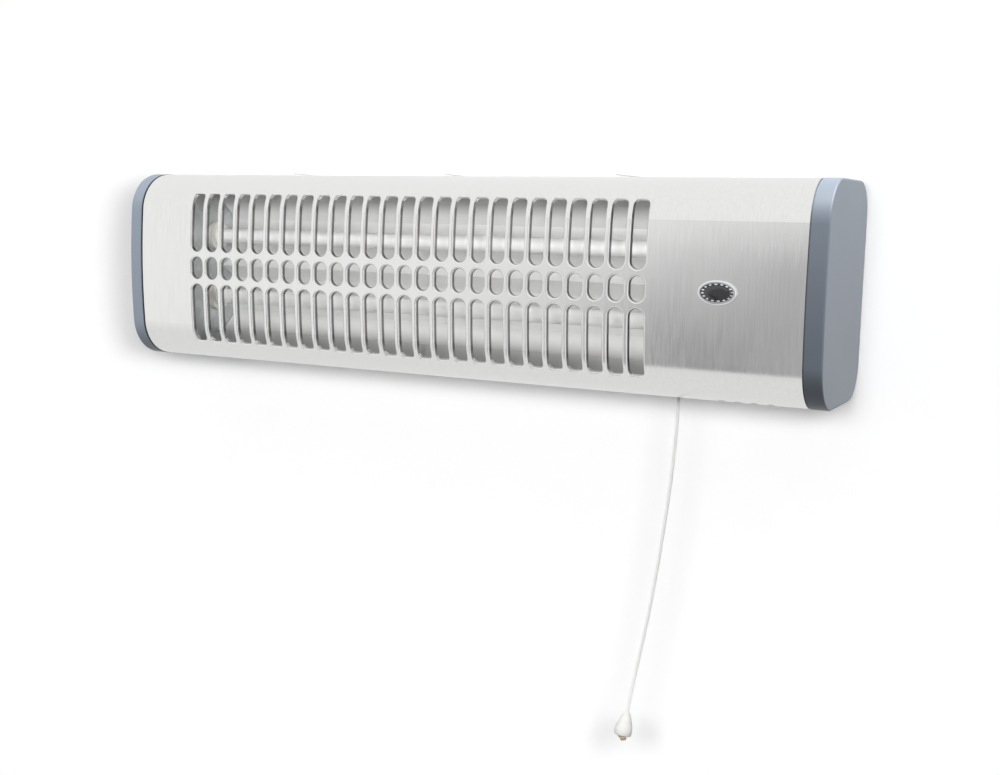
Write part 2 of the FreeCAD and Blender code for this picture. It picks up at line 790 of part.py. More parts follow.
def wound(label, radius, length, turns, wire_radius):
    """A wound wire up Z, with its least gap between turns measured and printed."""
    path = helix(radius, length, turns)
    per_turn = 16
    count = int(per_turn * turns)
    points = path.discretize(Number=count + 1)
    near = range(per_turn // 2 + 2, 2 * per_turn)
    least = min(points[i].distanceToPoint(points[i + step]) for i in range(count) for step in near
                if i + step <= count)
    tube = swept(path, wire_radius)
    ratio = tube.Volume / (math.pi * wire_radius ** 2 * path.Length)
    print(f"{label}: least gap between turns {least - 2 * wire_radius:.2f} mm, volume ratio {ratio:.4f}")
    return tube


def make_tubes():
    tube_start = tube_left - bore_reach + size("fit_gap")
    tube_end = tube_right + bore_reach - size("fit_gap")
    tube_run = ("body_length - tube_margin_left - tube_margin_right - 2 * fit_gap"
                " + 2 * (ceramic_length - ceramic_flange - ceramic_nose - ceramic_end)")
    coil_start = tube_left - bore_reach + size("pin_depth")
    coil_end = tube_right + bore_reach - size("pin_depth")
    coil_radius = size("coil_wire_radius")
    coil = wound("heating coil", size("coil_radius"), coil_end - coil_start, size("coil_turns"), coil_radius)
    coil.rotate(Vector(), Vector(0, 1, 0), 90)
    pins = []
    for name, level in (("upper", tube_z), ("lower", -tube_z)):
        outside = rod(f"quartz_{name}_outside", "tube_radius", tube_run, (tube_start, tube_y, level), "x")
        inside = rod(f"quartz_{name}_inside", "tube_radius - tube_wall", tube_run,
                     (tube_start, tube_y, level), "x")
        keep(less(f"quartz_tube_{name}", outside, [inside]))
        keep(formed(f"heating_coil_{name}", coil.translated(Vector(coil_start, tube_y, level))))
        left = Placement(Vector(tube_left, tube_y, level), Rotation(Vector(0, 0, 1), Vector(-1, 0, 0)))
        right = Placement(Vector(tube_right, tube_y, level), TURN_TO["x"])
        keep(turned(f"ceramic_{name}_left", CERAMIC_PROFILE, left))
        keep(turned(f"ceramic_{name}_right", CERAMIC_PROFILE, right))
        pin_run = size("ceramic_end") + size("pin_depth") + size("pin_reach")
        for start in (coil_start - pin_run, coil_end):
            pins.append(Part.makeCylinder(size("pin_radius"), pin_run, Vector(start, tube_y, level),
                                          Vector(1, 0, 0)))
    keep(formed("tube_terminals", Part.makeCompound(pins)))


def make_link_strip():
    """The strip that joins the two tubes' left terminals."""
    outer = tube_left - ceramic_reach - size("link_standoff") - size("link_wall")
    strip = block("link_blank", "link_wall", "link_width", "body_height - 2 * tube_edge + link_width",
                  (outer, tube_y - size("link_width") / 2, -tube_z - size("link_width") / 2))
    holes = [rod("link_hole", "pin_radius + hole_gap", "3 * link_wall",
                 (outer - size("link_wall"), tube_y, level), "x") for level in (-tube_z, tube_z)]
    return less("link_strip", strip, holes)


make_tubes()
keep(make_link_strip())

cutout_x = tube_right + size("sheet_wall")
cutout_y = -size("cutout_setback")
cutout_tab_x = cutout_x + size("cutout_base") + size("cutout_length")


def make_thermal_cutout():
    base = rod("cutout_base_disc", "cutout_base_radius", "cutout_base", (cutout_x, cutout_y, 0), "x")
    can = rod("cutout_can", "cutout_radius", "cutout_base + cutout_length", (cutout_x, cutout_y, 0), "x")
    parts = [base, can]
    for side in (-1, 1):
        level = side * size("tab_width") - size("tab_width") / 2
        parts.append(block("cutout_tab", "tab_length", "tab_wall", "tab_width",
                           (cutout_tab_x, cutout_y - size("tab_wall") / 2, level)))
    return fused("thermal_cutout", parts)


keep(make_thermal_cutout())

# Pull switch: a rack on the plunger turns a toothed rotor, which bridges two contacts
gear_radius = size("gear_module") * size("gear_teeth") / 2
rack_line = cord_x + size("plunger_half_width")
rotor_x = rack_line + gear_radius
plunger_top = switch_ceiling - size("plunger_headroom")
plunger_low = plunger_top - size("plunger_length")
rotor_z = plunger_low + size("gear_lead")
pressure_angle = math.radians(20)
tooth_pitch = math.pi * size("gear_module")
tooth_thickness = tooth_pitch / 2 - size("gear_backlash") / 2
gear_root = size("gear_addendum") + size("gear_clearance")
plunger_depth = 2 * size("plunger_half_width")
gear_front = cord_y - size("gear_width") / 2
gear_back = cord_y + size("gear_width") / 2
disc_back = gear_back + size("disc_width")
contact_front = disc_back + size("bridge_wall") + size("fit_gap")
switch_right = switch_left + size("switch_width")
switch_front_y = cord_y - size("switch_front")


def make_plunger():
    lean = math.tan(pressure_angle)
    tip = rack_line + size("gear_addendum")
    root = rack_line - gear_root
    tip_half = tooth_thickness / 2 - size("gear_addendum") * lean
    root_half = tooth_thickness / 2 + gear_root * lean
    points = [(root, plunger_low)]
    first = math.ceil((plunger_low + root_half - rotor_z) / tooth_pitch - 0.5)
    last = math.floor((plunger_top - root_half - rotor_z) / tooth_pitch - 0.5)
    for number in range(first, last + 1):
        middle = rotor_z + (number + 0.5) * tooth_pitch
        points += [(root, middle - root_half), (tip, middle - tip_half)]
        points += [(tip, middle + tip_half), (root, middle + root_half)]
    left = cord_x - size("plunger_half_width")
    points += [(root, plunger_top), (left, plunger_top), (left, plunger_low)]
    front = cord_y - plunger_depth / 2
    corners = [Vector(x, front, z) for x, z in points]
    face = Part.Face(Part.makePolygon(corners + corners[:1]))
    return face.extrude(Vector(0, plunger_depth, 0))


def make_rotor():
    """The toothed rotor: involute teeth, a disc for the bridge and a hub, bored for its axle."""
    base = gear_radius * math.cos(pressure_angle)
    tip = gear_radius + size("gear_addendum")
    root = gear_radius - gear_root

    def involute(angle):
        return math.tan(angle) - angle

    def half_angle(radius):
        spread = tooth_thickness / (2 * gear_radius) + involute(pressure_angle)
        return spread - involute(math.acos(min(1, base / radius)))

    radii = [root, base] + [base + (tip - base) * share for share in (0.35, 0.7, 1)]
    flank = [(radius, half_angle(max(radius, base))) for radius in radii]
    corners = []
    teeth = int(size("gear_teeth"))
    for number in range(teeth):
        middle = math.tau * number / teeth
        sides = [(radius, middle - half) for radius, half in flank]
        sides += [(radius, middle + half) for radius, half in reversed(flank)]
        for radius, angle in sides:
            corners.append(Vector(rotor_x + radius * math.cos(angle), gear_front,
                                  rotor_z + radius * math.sin(angle)))
    gear = Part.Face(Part.makePolygon(corners + corners[:1])).extrude(Vector(0, size("gear_width"), 0))
    along = Vector(0, 1, 0)
    disc_start = Vector(rotor_x, gear_back, rotor_z)
    disc = Part.makeCylinder(size("disc_radius"), size("disc_width"), disc_start, along)
    hub_front = switch_front_y + size("fit_gap")
    hub_start = Vector(rotor_x, hub_front, rotor_z)
    hub = Part.makeCylinder(size("hub_radius"), gear_front - hub_front, hub_start, along)
    bore = Part.makeCylinder(size("axle_radius") + size("hole_gap"), disc_back - hub_front + 2,
                             Vector(rotor_x, hub_front - 1, rotor_z), along)
    return gear.fuse([disc, hub]).cut(bore)


def make_switch_body():
    wall = size("switch_wall")
    outside = block("switch_outside", "switch_width + 2 * switch_wall",
                    "switch_front + switch_back + switch_wall", "switch_height + 2 * switch_wall",
                    (switch_left - wall, switch_front_y, switch_floor - wall))
    inside = block("switch_inside", "switch_width", "switch_front + switch_back", "switch_height",
                   (switch_left, switch_front_y, switch_floor))
    tools = [inside]
    tools.append(rod("switch_cord_hole", "cord_hole_radius", "3 * switch_wall",
                     (cord_x, cord_y, switch_floor - 2 * wall), "z"))
    back = switch_back_y - wall
    tools.append(rod("switch_axle_hole", "axle_radius + hole_gap", "switch_wall / 2",
                     (rotor_x, back, rotor_z), "y"))
    gap = size("hole_gap")
    for side in (-1, 1):
        low = rotor_z + side * size("contact_offset") - size("tab_width") / 2
        tools.append(block("contact_slot", "3 * switch_wall", "tab_wall + 2 * hole_gap",
                           "tab_width + 2 * hole_gap", (switch_right - wall, contact_front - gap, low - gap)))
    for x, z in switch_screw_spots:
        tools.append(rod("switch_screw_hole", "screw_radius + hole_gap", "3 * switch_wall",
                         (x, back - wall, z), "y"))
    return less("switch_body", outside, tools)


switch_plate_low = arm_top - size("switch_plate_height")
screw_margin = size("switch_screw_margin")
switch_screw_spots = [
    (arm_x + screw_margin, switch_plate_low + screw_margin),
    (arm_x + size("switch_arm_width") - screw_margin, arm_top - size("sheet_wall") - screw_margin),
]


def make_switch_bracket():
    """A bent sheet from the back plate forward to the switch's back."""
    wall = size("sheet_wall")
    arm = block("switch_arm", "switch_arm_width",
                "body_depth - cord_setback - switch_back - switch_wall - back_setback", "sheet_wall",
                (arm_x, switch_back_y, arm_top - wall))
    plate = block("switch_plate", "switch_arm_width", "sheet_wall", "switch_plate_height",
                  (arm_x, switch_back_y, switch_plate_low))
    foot = block("switch_foot", "switch_arm_width", "sheet_wall", "switch_foot_height",
                 (arm_x, lip_y - wall, arm_top - wall))
    tools = []
    for x, z in switch_screw_spots:
        tools.append(rod("switch_plate_hole", "screw_radius + hole_gap", "3 * sheet_wall",
                         (x, switch_back_y - wall, z), "y"))
    for share in (0.25, 0.75):
        spot = (arm_x + share * size("switch_arm_width"), lip_y - 2 * wall, arm_screw_z)
        tools.append(rod("switch_foot_hole", "screw_radius + hole_gap", "3 * sheet_wall", spot, "y"))
    return less("switch_bracket", fused("switch_bracket_blank", [arm, plate, foot]), tools)


def make_fixed_contacts():
    strips = []
    for side in (-1, 1):
        low = rotor_z + side * size("contact_offset") - size("tab_width") / 2
        corner = Vector(rotor_x - size("bridge_width") / 2, contact_front, low)
        run = switch_right + size("switch_wall") + size("tab_length") - corner.x
        strips.append(Part.makeBox(run, size("tab_wall"), size("tab_width"), corner))
    return Part.makeCompound(strips)


keep(make_switch_bracket())
keep(make_switch_body())
keep(block("switch_cover", "switch_width + 2 * switch_wall", "switch_wall", "switch_height + 2 * switch_wall",
           (switch_left - size("switch_wall"), switch_front_y - size("switch_wall"),
            switch_floor - size("switch_wall"))))
screw_group("switch_screws", switch_screw_spots, switch_back_y + size("sheet_wall"),
            size("switch_screw_length"))
keep(formed("pull_plunger", make_plunger()))
keep(formed("switch_rotor", make_rotor()))
keep(rod("rotor_axle", "axle_radius", "switch_front + switch_back + switch_wall / 2",
         (rotor_x, switch_front_y, rotor_z), "y"))
keep(less("moving_contact",
          block("bridge_blank", "bridge_length", "bridge_wall", "bridge_width",
                (rotor_x - size("bridge_length") / 2, disc_back, rotor_z - size("bridge_width") / 2)),
          [rod("bridge_hole", "axle_radius + hole_gap", "3 * bridge_wall",
               (rotor_x, disc_back - size("bridge_wall"), rotor_z), "y")]))
keep(formed("fixed_contacts", make_fixed_contacts()))


def make_return_spring():
    wire_radius = size("spring_wire_radius")
    room = plunger_low - switch_floor - 2 * (wire_radius + size("hole_gap"))
    spring = wound("return spring", size("spring_radius"), room, size("spring_turns"), wire_radius)
    return spring.translated(Vector(cord_x, cord_y, switch_floor + wire_radius + size("hole_gap")))


keep(formed("return_spring", make_return_spring()))

# Cord guide and mains inlet, snapped through the underside
keep(turned("cord_guide", [
    ("cord_hole_radius", "-guide_flange"),
    ("guide_flange_radius", "-guide_flange"),
    ("guide_flange_radius", "0"),
    ("guide_radius", "0"),
    ("guide_radius", "shell_wall"),
    ("guide_radius + guide_snap", "shell_wall"),
    ("guide_radius + guide_snap", "shell_wall + guide_snap"),
    ("guide_radius", "shell_wall + 2 * guide_snap"),
    ("guide_radius", "shell_wall + switch_lift - hole_gap"),
    ("cord_hole_radius", "shell_wall + switch_lift - hole_gap"),
], Placement(Vector(cord_x, cord_y, -half_height), Rotation())))
keep(turned("inlet_grommet", [
    ("inlet_bore_radius", "-inlet_flange"),
    ("inlet_flange_radius", "-inlet_flange"),
    ("inlet_flange_radius", "0"),
    ("inlet_radius", "0"),
    ("inlet_radius", "shell_wall"),
    ("inlet_flange_radius", "shell_wall"),
    ("inlet_flange_radius", "shell_wall + inlet_flange"),
    ("inlet_bore_radius", "shell_wall + inlet_flange"),
], Placement(Vector(inlet_x, inlet_y, -half_height), Rotation())))


def route(label, points):
    """A cord's path: straight runs joined by arcs as large as the runs allow."""
    edges = []
    radii = []
    start = points[0]
    for before, corner, after in zip(points, points[1:], points[2:]):
        back = before - corner
        ahead = after - corner
        turn = math.pi - back.getAngle(ahead)
        reach = 0.45 * min(back.Length, ahead.Length)
        radii.append(reach / math.tan(turn / 2))
        arc_start = corner + back.normalize() * reach
        arc_end = corner + ahead.normalize() * reach
        edges.append(Part.makeLine(start, arc_start))
        edges.append(arc_by_tangent(arc_start, arc_end, corner))
        start = arc_end
    edges.append(Part.makeLine(start, points[-1]))
    path = Part.Wire(edges)
    print(f"{label}: length {path.Length:.1f} mm, radii " + ", ".join(f"{radius:.0f}" for radius in radii))
    return path


def corded(label, points, radius):
    path = route(label, points)
    tube = swept(path, radius)
    print(f"{label}: volume ratio {tube.Volume / (math.pi * radius ** 2 * path.Length):.4f}")
    return keep(formed(label, tube))


cord_points = [Vector(cord_x, cord_y, plunger_low)]
cord_points += [Vector(cord_x, cord_y, -half_height) + Vector(*step) for step in CORD_DROP]
corded("pull_cord", cord_points, size("cord_radius"))
cord_lean = Rotation(Vector(0, 0, -1), cord_points[-1] - cord_points[-2])
bell_place = Placement(cord_points[-1], cord_lean)
keep(turned("pull_bell", [
    ("0", "0"),
    ("bell_neck_radius", "0"),
    ("bell_shoulder_radius", "-bell_shoulder"),
    ("(bell_shoulder_radius + 3 * bell_radius) / 4", "-(bell_shoulder + bell_widest) / 2"),
    ("bell_radius", "-bell_widest"),
    ("(3 * bell_radius + bell_rim_radius) / 4", "-(bell_widest + bell_length) / 2"),
    ("bell_rim_radius", "-bell_length"),
    ("bell_mouth_radius", "-bell_length"),
    ("bell_mouth_radius", "-bell_length + bell_hollow"),
    ("0", "-bell_length + bell_hollow"),
], bell_place))
keep(turned("cord_knot", [
    ("0", "-bell_length + bell_hollow"),
    ("knot_radius / 2", "-bell_length + bell_hollow"),
    ("knot_radius", "-bell_length + bell_hollow - knot_length * 0.3"),
    ("knot_radius", "-bell_length + bell_hollow - knot_length * 0.7"),
    ("knot_radius / 2", "-bell_length + bell_hollow - knot_length"),
    ("0", "-bell_length + bell_hollow - knot_length"),
], bell_place))

# Indicator lamp
neck_back = front_y + size("bezel_neck")
holder_back = neck_back + size("holder_depth")
window_length = size("bezel_length") - 2 * size("bezel_ring")
window_height = size("bezel_height") - 2 * size("bezel_ring")


def make_bezel():
    front = front_y - size("bezel_proud")
    flange = ellipse_prism(size("bezel_length"), size("bezel_height"), front, front_y)
    crown = [edge for edge in flange.Edges if abs(edge.CenterOfMass.y - front) < 0.001]
    flange = flange.makeFillet(size("bezel_edge_radius"), crown)
    neck = ellipse_prism(bezel_neck_length, bezel_neck_height, front_y, neck_back)
    return flange.fuse(neck).cut(ellipse_prism(window_length, window_height, front - 1, neck_back + 1))


def make_lens():
    gap = size("fit_gap")
    front = front_y - size("bezel_proud") + size("lens_sink")
    return ellipse_prism(window_length - gap, window_height - gap, front, front + size("lens_depth"))


def make_holder():
    wall = size("holder_wall")
    left = lamp_x - size("holder_length") / 2
    low = lamp_z - size("holder_height") / 2
    outside = block("holder_outside", "holder_length", "holder_depth", "holder_height",
                    (left, neck_back, low))
    inside = block("holder_inside", "holder_length - 2 * holder_wall", "holder_depth - holder_wall",
                   "holder_height - 2 * holder_wall", (left + wall, neck_back, low + wall))
    return less("indicator_holder", outside, [inside])


keep(formed("indicator_bezel", make_bezel()))
keep(formed("indicator_lens", make_lens()))
keep(make_holder())
keep(rod("neon_lamp", "neon_radius", "neon_length",
         (lamp_x, holder_back - size("holder_wall") - size("neon_length"), lamp_z), "y"))

# Terminals
terminal_x = half_length - size("terminal_margin") - size("terminal_length")
terminal_front = lip_y - size("terminal_width")
terminal_low = size("terminal_level")
terminal_mid_z = terminal_low + size("terminal_height") / 2
terminal_mid_x = terminal_x + size("terminal_length") / 2
terminal_spots = [(terminal_mid_x + step * size("terminal_pitch"), terminal_mid_z) for step in (-1, 0, 1)]


def make_terminal_block():
    blank = block("terminal_blank", "terminal_length", "terminal_width", "terminal_height",
                  (terminal_x, terminal_front, terminal_low))
    holes = [rod("terminal_hole", "screw_radius + hole_gap", "terminal_screw_length + fit_gap",
                 (x, terminal_front, z), "y") for x, z in terminal_spots]
    return less("terminal_block", blank, holes)


def make_terminal_screws():
    screws = []
    for x, z in terminal_spots:
        item = screw(0, 0, 0, size("terminal_screw_length"))
        item.rotate(Vector(), Vector(0, 0, 1), 180)
        screws.append(item.translated(Vector(x, terminal_front, z)))
    return Part.makeCompound(screws)


def make_earth_screw():
    washer_front = lip_y - size("washer_wall")
    washer = rod("earth_washer", "washer_radius", "washer_wall", (earth_x, washer_front, earth_z), "y")
    head = rod("earth_head", "screw_head_radius", "screw_head_height",
               (earth_x, washer_front - size("screw_head_height"), earth_z), "y")
    shank = rod("earth_shank", "screw_radius", "washer_wall + 2 * plate_wall",
                (earth_x, washer_front, earth_z), "y")
    return fused("earth_screw", [washer, head, shank])


keep(make_terminal_block())
keep(formed("terminal_screws", make_terminal_screws()))
keep(make_earth_screw())

# Wires, each held at both ends inside the housing
wire_radius = size("wire_radius")
wire_gap = size("fit_gap")
contact_end = switch_right + size("switch_wall") + size("tab_length") + wire_gap
contact_mid_y = contact_front + size("tab_wall") / 2
upper_contact = rotor_z + size("contact_offset")
lower_contact = rotor_z - size("contact_offset")
pin_x = tube_right + ceramic_reach + size("pin_reach") / 2
pin_side = tube_y + size("pin_radius") + wire_gap
tab_end = cutout_tab_x + size("tab_length") + wire_gap
tab_level = size("tab_width")
terminal_entry_y = (terminal_front + lip_y) / 2
live_x = terminal_spots[0][0]
corded("wire_live", [
    Vector(live_x, terminal_entry_y, terminal_low - wire_gap),
    Vector(live_x, terminal_entry_y - 1, terminal_low - 16),
    Vector(live_x - 0.5, terminal_entry_y - 9, upper_contact + 21),
    Vector(contact_end + 13, contact_mid_y + 18, upper_contact + 8),
    Vector(contact_end + 11.5, contact_mid_y + 8, upper_contact + 1.5),
    Vector(contact_end + 7.5, contact_mid_y + 1, upper_contact),
    Vector(contact_end, contact_mid_y, upper_contact),
], wire_radius)
corded("wire_switched", [
    Vector(contact_end, contact_mid_y, lower_contact),
    Vector(contact_end + 7, contact_mid_y + 1, lower_contact),
    Vector(contact_end + 10.5, contact_mid_y + 8, lower_contact + 3),
    Vector(contact_end + 8.5, contact_mid_y + 14, lower_contact + 11),
    Vector(contact_end + 1.5, contact_mid_y + 14, lower_contact + 21),
    Vector(tab_end + 13.5, cutout_y - 12, -tab_level - 11),
    Vector(tab_end + 8, cutout_y - 6, -tab_level - 4.5),
    Vector(tab_end + 4.5, cutout_y - 1, -tab_level - 0.5),
    Vector(tab_end, cutout_y, -tab_level),
], wire_radius)
corded("wire_upper_tube", [
    Vector(pin_x, pin_side, tube_z),
    Vector(pin_x, pin_side + 6.5, tube_z),
    Vector(pin_x + 2.5, pin_side + 13, tube_z - 3),
    Vector(tab_end + 7, cutout_y - 5, tab_level + 8),
    Vector(tab_end + 6.5, cutout_y - 0.5, tab_level + 1.5),
    Vector(tab_end, cutout_y, tab_level),
], wire_radius)
corded("wire_neutral", [
    Vector(pin_x, pin_side, -tube_z),
    Vector(pin_x, pin_side + 6.5, -tube_z),
    Vector(pin_x + 3, pin_side + 13.5, -tube_z + 3),
    Vector(pin_x + 11, cutout_y, -tab_level - 5),
    Vector(terminal_x - 14, terminal_front, terminal_mid_z - 13),
    Vector(terminal_x - 7.5, terminal_entry_y - 1, terminal_mid_z - 2),
    Vector(terminal_x - wire_gap, terminal_entry_y, terminal_mid_z),
], wire_radius)
corded("wire_lamp", [
    Vector(lamp_x, holder_back + wire_gap, lamp_z),
    Vector(lamp_x, holder_back + 9, lamp_z + 0.5),
    Vector(lamp_x + 3.5, holder_back + 21, lamp_z + 5),
    Vector(live_x + 2, terminal_front - 14, terminal_mid_z - 4),
    Vector(live_x + 4, terminal_front - 6, terminal_mid_z - 0.5),
    Vector(live_x + 4, terminal_front - wire_gap, terminal_mid_z),
], wire_radius)

doc.recompute()
for item in doc.Objects:
    if "Invalid" in item.State or "Error" in item.State:
        raise RuntimeError(f"{item.Label} failed: {item.State}")
os.makedirs("parts", exist_ok=True)
for item in nodes:
    if item.Shape.isNull() or not item.Shape.isValid() or not item.Shape.Solids:
        raise RuntimeError(f"{item.Label} is not a sound solid")
    item.Shape.exportStep(f"parts/{item.Label}.step")
print(f"{len(nodes)} nodes, {columns} columns of slots")
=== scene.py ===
"""Looks of a wall-hung bathroom quartz heater: finishes, lamp lens, pull cord, bell and stage.

Everything is in metres in the frame's own axes: X along the heater, Y into the wall and Z up.
"""
import math

import bmesh
import bpy
from bpy.props import FloatProperty, FloatVectorProperty, IntProperty, PointerProperty
from mathutils import Matrix, Vector


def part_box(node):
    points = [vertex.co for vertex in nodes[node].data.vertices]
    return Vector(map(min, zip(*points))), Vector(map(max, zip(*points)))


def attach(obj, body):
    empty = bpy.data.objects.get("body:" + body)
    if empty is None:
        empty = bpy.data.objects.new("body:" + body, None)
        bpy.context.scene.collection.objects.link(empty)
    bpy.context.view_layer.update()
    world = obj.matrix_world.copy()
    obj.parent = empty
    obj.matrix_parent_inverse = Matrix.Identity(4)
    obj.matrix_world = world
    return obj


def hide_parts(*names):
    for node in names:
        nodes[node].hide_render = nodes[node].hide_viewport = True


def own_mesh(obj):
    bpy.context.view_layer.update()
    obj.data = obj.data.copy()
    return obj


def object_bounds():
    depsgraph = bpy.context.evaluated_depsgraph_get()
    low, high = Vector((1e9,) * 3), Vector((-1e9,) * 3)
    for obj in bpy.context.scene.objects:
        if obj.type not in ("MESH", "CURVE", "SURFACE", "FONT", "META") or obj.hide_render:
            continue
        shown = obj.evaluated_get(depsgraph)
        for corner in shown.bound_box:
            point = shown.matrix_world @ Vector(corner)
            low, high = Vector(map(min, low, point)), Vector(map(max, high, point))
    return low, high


bl_info = {
    "name": "Bathroom Heater Looks",
    "version": (1, 0, 0),
    "blender": (4, 5, 0),
    "location": "View3D > Sidebar > Heater",
    "description": "Finishes and stages a wall-hung quartz heater with a pull cord",
    "category": "Object",
}

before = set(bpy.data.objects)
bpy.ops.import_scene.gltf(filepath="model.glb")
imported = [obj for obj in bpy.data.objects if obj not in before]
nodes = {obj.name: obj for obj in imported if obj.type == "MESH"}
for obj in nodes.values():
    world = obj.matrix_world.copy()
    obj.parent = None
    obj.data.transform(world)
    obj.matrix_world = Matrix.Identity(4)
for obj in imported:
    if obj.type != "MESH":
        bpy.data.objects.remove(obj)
cad_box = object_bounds()

# The pull cord's route from the switch plunger down to the bell
CORD_ROUTE = [
    (0.1507, -0.058, -0.0455),
    (0.1507, -0.058, -0.072),
    (0.1483, -0.058, -0.110),
    (0.1428, -0.058, -0.158),
    (0.1366, -0.058, -0.200),
    (0.1297, -0.060, -0.2385),
    (0.1286, -0.066, -0.2564),
]

# How much of an end cap shows beyond the steel front, and the width of the painted shadow line at the seam
# between them
CAP_LENGTH = 0.010
SEAM_WIDTH = 0.0012

# The front's slow curve, how far up and down it reaches and over what height its corners take over
FRONT_RADIUS = 0.473
FRONT_REACH = 0.0445
REACH_FADE = 0.0035

# Painted shade: the slots' collars darkened between two depths, a painted shadow line at the seam, and the
# reflector's edges darkened between two heights
COLLAR_DEPTHS = (0.0008, 0.0016)
COLLAR_SHADE = 0.3
SEAM_SHADE = 0.15
REFLECTOR_EDGE = (0.036, 0.05)
REFLECTOR_EDGE_SHADE = 0.3

# Patterns: the middle of a noise, the size of broad blotches, the zinc patches' change of roughness, and the
# braid's height
NOISE_MIDDLE = 0.5
BLOTCH_SCALE = 28
PATCH_SPREAD = 0.2
BRAID_BUMP = 0.4
BRAID_DEPTH = 0.0002

# What the inner lamp lights
BEHIND_GRILLE = (
    "reflector",
    "quartz_tube_upper",
    "quartz_tube_lower",
    "tube_bracket_left",
    "tube_bracket_right",
)

# Lamps near the camera: their softness, the slant past which they grow no stronger, and how far the wall's
# lamps stand above it. Each of the wall's lamps has its distance to the camera's right and its share of the
# wall's light.
LAMP_RADIUS = 0.1
LEAST_SLANT = 0.3
WALL_LAMP_RADIUS = 0.09
WALL_LAMP_RISE = 0.05
WALL_LAMPS = (
    ("wall_lamp_far_left", -0.2, 0.3),
    ("wall_lamp_left", -0.07, 0.25),
    ("wall_lamp_right", 0.11, 0.45),
)

# The lamps on the end caps: their sizes and the points they are turned to
STRIP_SIZE = (0.55, 0.3)
STRIP_TARGET = (0.2, -0.06, 0)
FILL_SIZE = (0.3, 0.3)
FILL_TARGET = (-0.235, -0.08, 0)

# The grey card: how far in from each edge it fades, and where its dark side gives way to its pale side. Each
# side's glow goes from one height to another and from one strength to another.
CARD_FADES = {"left": 0.27, "right": 0.2, "bottom": 0.12, "top": 0.13}
CARD_TINT = (1, 0.985, 1, 1)
CARD_BLEND = (-0.27, -0.06)
CARD_DARK_GLOW = (-0.36, 0.2, 0.06, 0.94)
CARD_PALE_GLOW = (-0.4, 0.26, 0.47, 0.45)

# What shiny surfaces see below them: from one slope to another, and from one strength to another
FLOOR_GLOW = (-0.5, -0.1, 0.84, 1)

# The wall behind the heater
WALL_SIZE = 12
WALL_WHITE = (0.9, 0.9, 0.9, 1)

# The camera's film, and the nearest and farthest that it sees
FILM_WIDTH = 36
NEAREST_SEEN = 0.01
FARTHEST_SEEN = 100


def length(name, description, default):
    """A size that a user may change."""
    return FloatProperty(name=name, description=description, default=default, unit="LENGTH", min=0)


def colour(name, description, default):
    """A colour that a user may change."""
    return FloatVectorProperty(name=name, description=description, default=default, subtype="COLOR",
                               size=3, min=0, max=1)


def light(name, description, default):
    """A light's strength that a user may change."""
    return FloatProperty(name=name, description=description, default=default, min=0)


def position(name, description, default):
    """A place or an offset that a user may change."""
    return FloatVectorProperty(name=name, description=description, default=default, subtype="XYZ",
                               unit="LENGTH")


def angle(name, description, degrees):
    """An angle that a user may change."""
    return FloatProperty(name=name, description=description, default=math.radians(degrees), subtype="ANGLE")


class HeaterSizes(bpy.types.PropertyGroup):
    """Sizes of the modelled pieces."""
    cord_length: length("Cord length", "Length of the pull cord", 0.2133)
    cord_diameter: length("Cord diameter", "Thickness of the pull cord", 0.0018)
    bell_radius: length("Bell radius", "Widest radius of the bell", 0.00545)
    knot_cord: length("Knot cord", "Thickness of the cord in the knot", 0.0021)
    knot_turns: IntProperty(name="Knot turns", description="Turns of cord in the knot", default=3, min=1)
    lens_teeth: IntProperty(name="Lens teeth", description="Bright teeth round the lens", default=16, min=6)
    lens_crown: length("Lens crown", "How far the lens rises above its rim", 0.0011)


class HeaterColours(bpy.types.PropertyGroup):
    """Colours of the finishes."""
    steel: colour("Steel", "Brushed steel of the front", (0.82, 0.82, 0.81))
    caps: colour("Caps", "Moulded end caps", (0.155, 0.18, 0.216))
    zinc: colour("Zinc", "Galvanised sheet", (0.58, 0.6, 0.61))
    reflector: colour("Reflector", "Bright sheet behind the tubes", (0.9, 0.9, 0.89))
    screws: colour("Screws", "Plated fasteners", (0.6, 0.6, 0.58))
    quartz: colour("Quartz", "Frosted tubes", (0.95, 0.95, 0.94))
    coil: colour("Coil", "Heating wire", (0.25, 0.23, 0.21))
    ceramic: colour("Ceramic", "Tube insulators", (0.86, 0.84, 0.79))
    brass: colour("Brass", "Contacts and pins", (0.72, 0.55, 0.28))
    dark_plastic: colour("Dark plastic", "Cut-out and lamp holder", (0.03, 0.03, 0.032))
    switch_plastic: colour("Switch plastic", "Switch case and its works", (0.78, 0.78, 0.75))
    spring: colour("Spring", "Spring and axle wire", (0.5, 0.5, 0.5))
    bell: colour("Bell", "Bell and cord guide", (0.74, 0.74, 0.72))
    rubber: colour("Rubber", "Inlet grommet", (0.035, 0.035, 0.037))
    cord: colour("Cord", "Pull cord", (0.9, 0.9, 0.89))
    knot: colour("Knot", "Knot under the bell", (0.78, 0.7, 0.42))
    chrome: colour("Chrome", "Lamp ring", (0.82, 0.83, 0.85))
    lens: colour("Lens", "Smoked lamp lens", (0.02, 0.02, 0.024))
    neon: colour("Neon", "Lamp glass", (0.85, 0.5, 0.36))
    nylon: colour("Nylon", "Terminal block", (0.8, 0.8, 0.77))
    brown_wire: colour("Brown wire", "Live sleeves", (0.16, 0.065, 0.03))
    white_wire: colour("White wire", "Lamp and tube sleeves", (0.76, 0.76, 0.74))
    blue_wire: colour("Blue wire", "Neutral sleeve", (0.045, 0.12, 0.38))


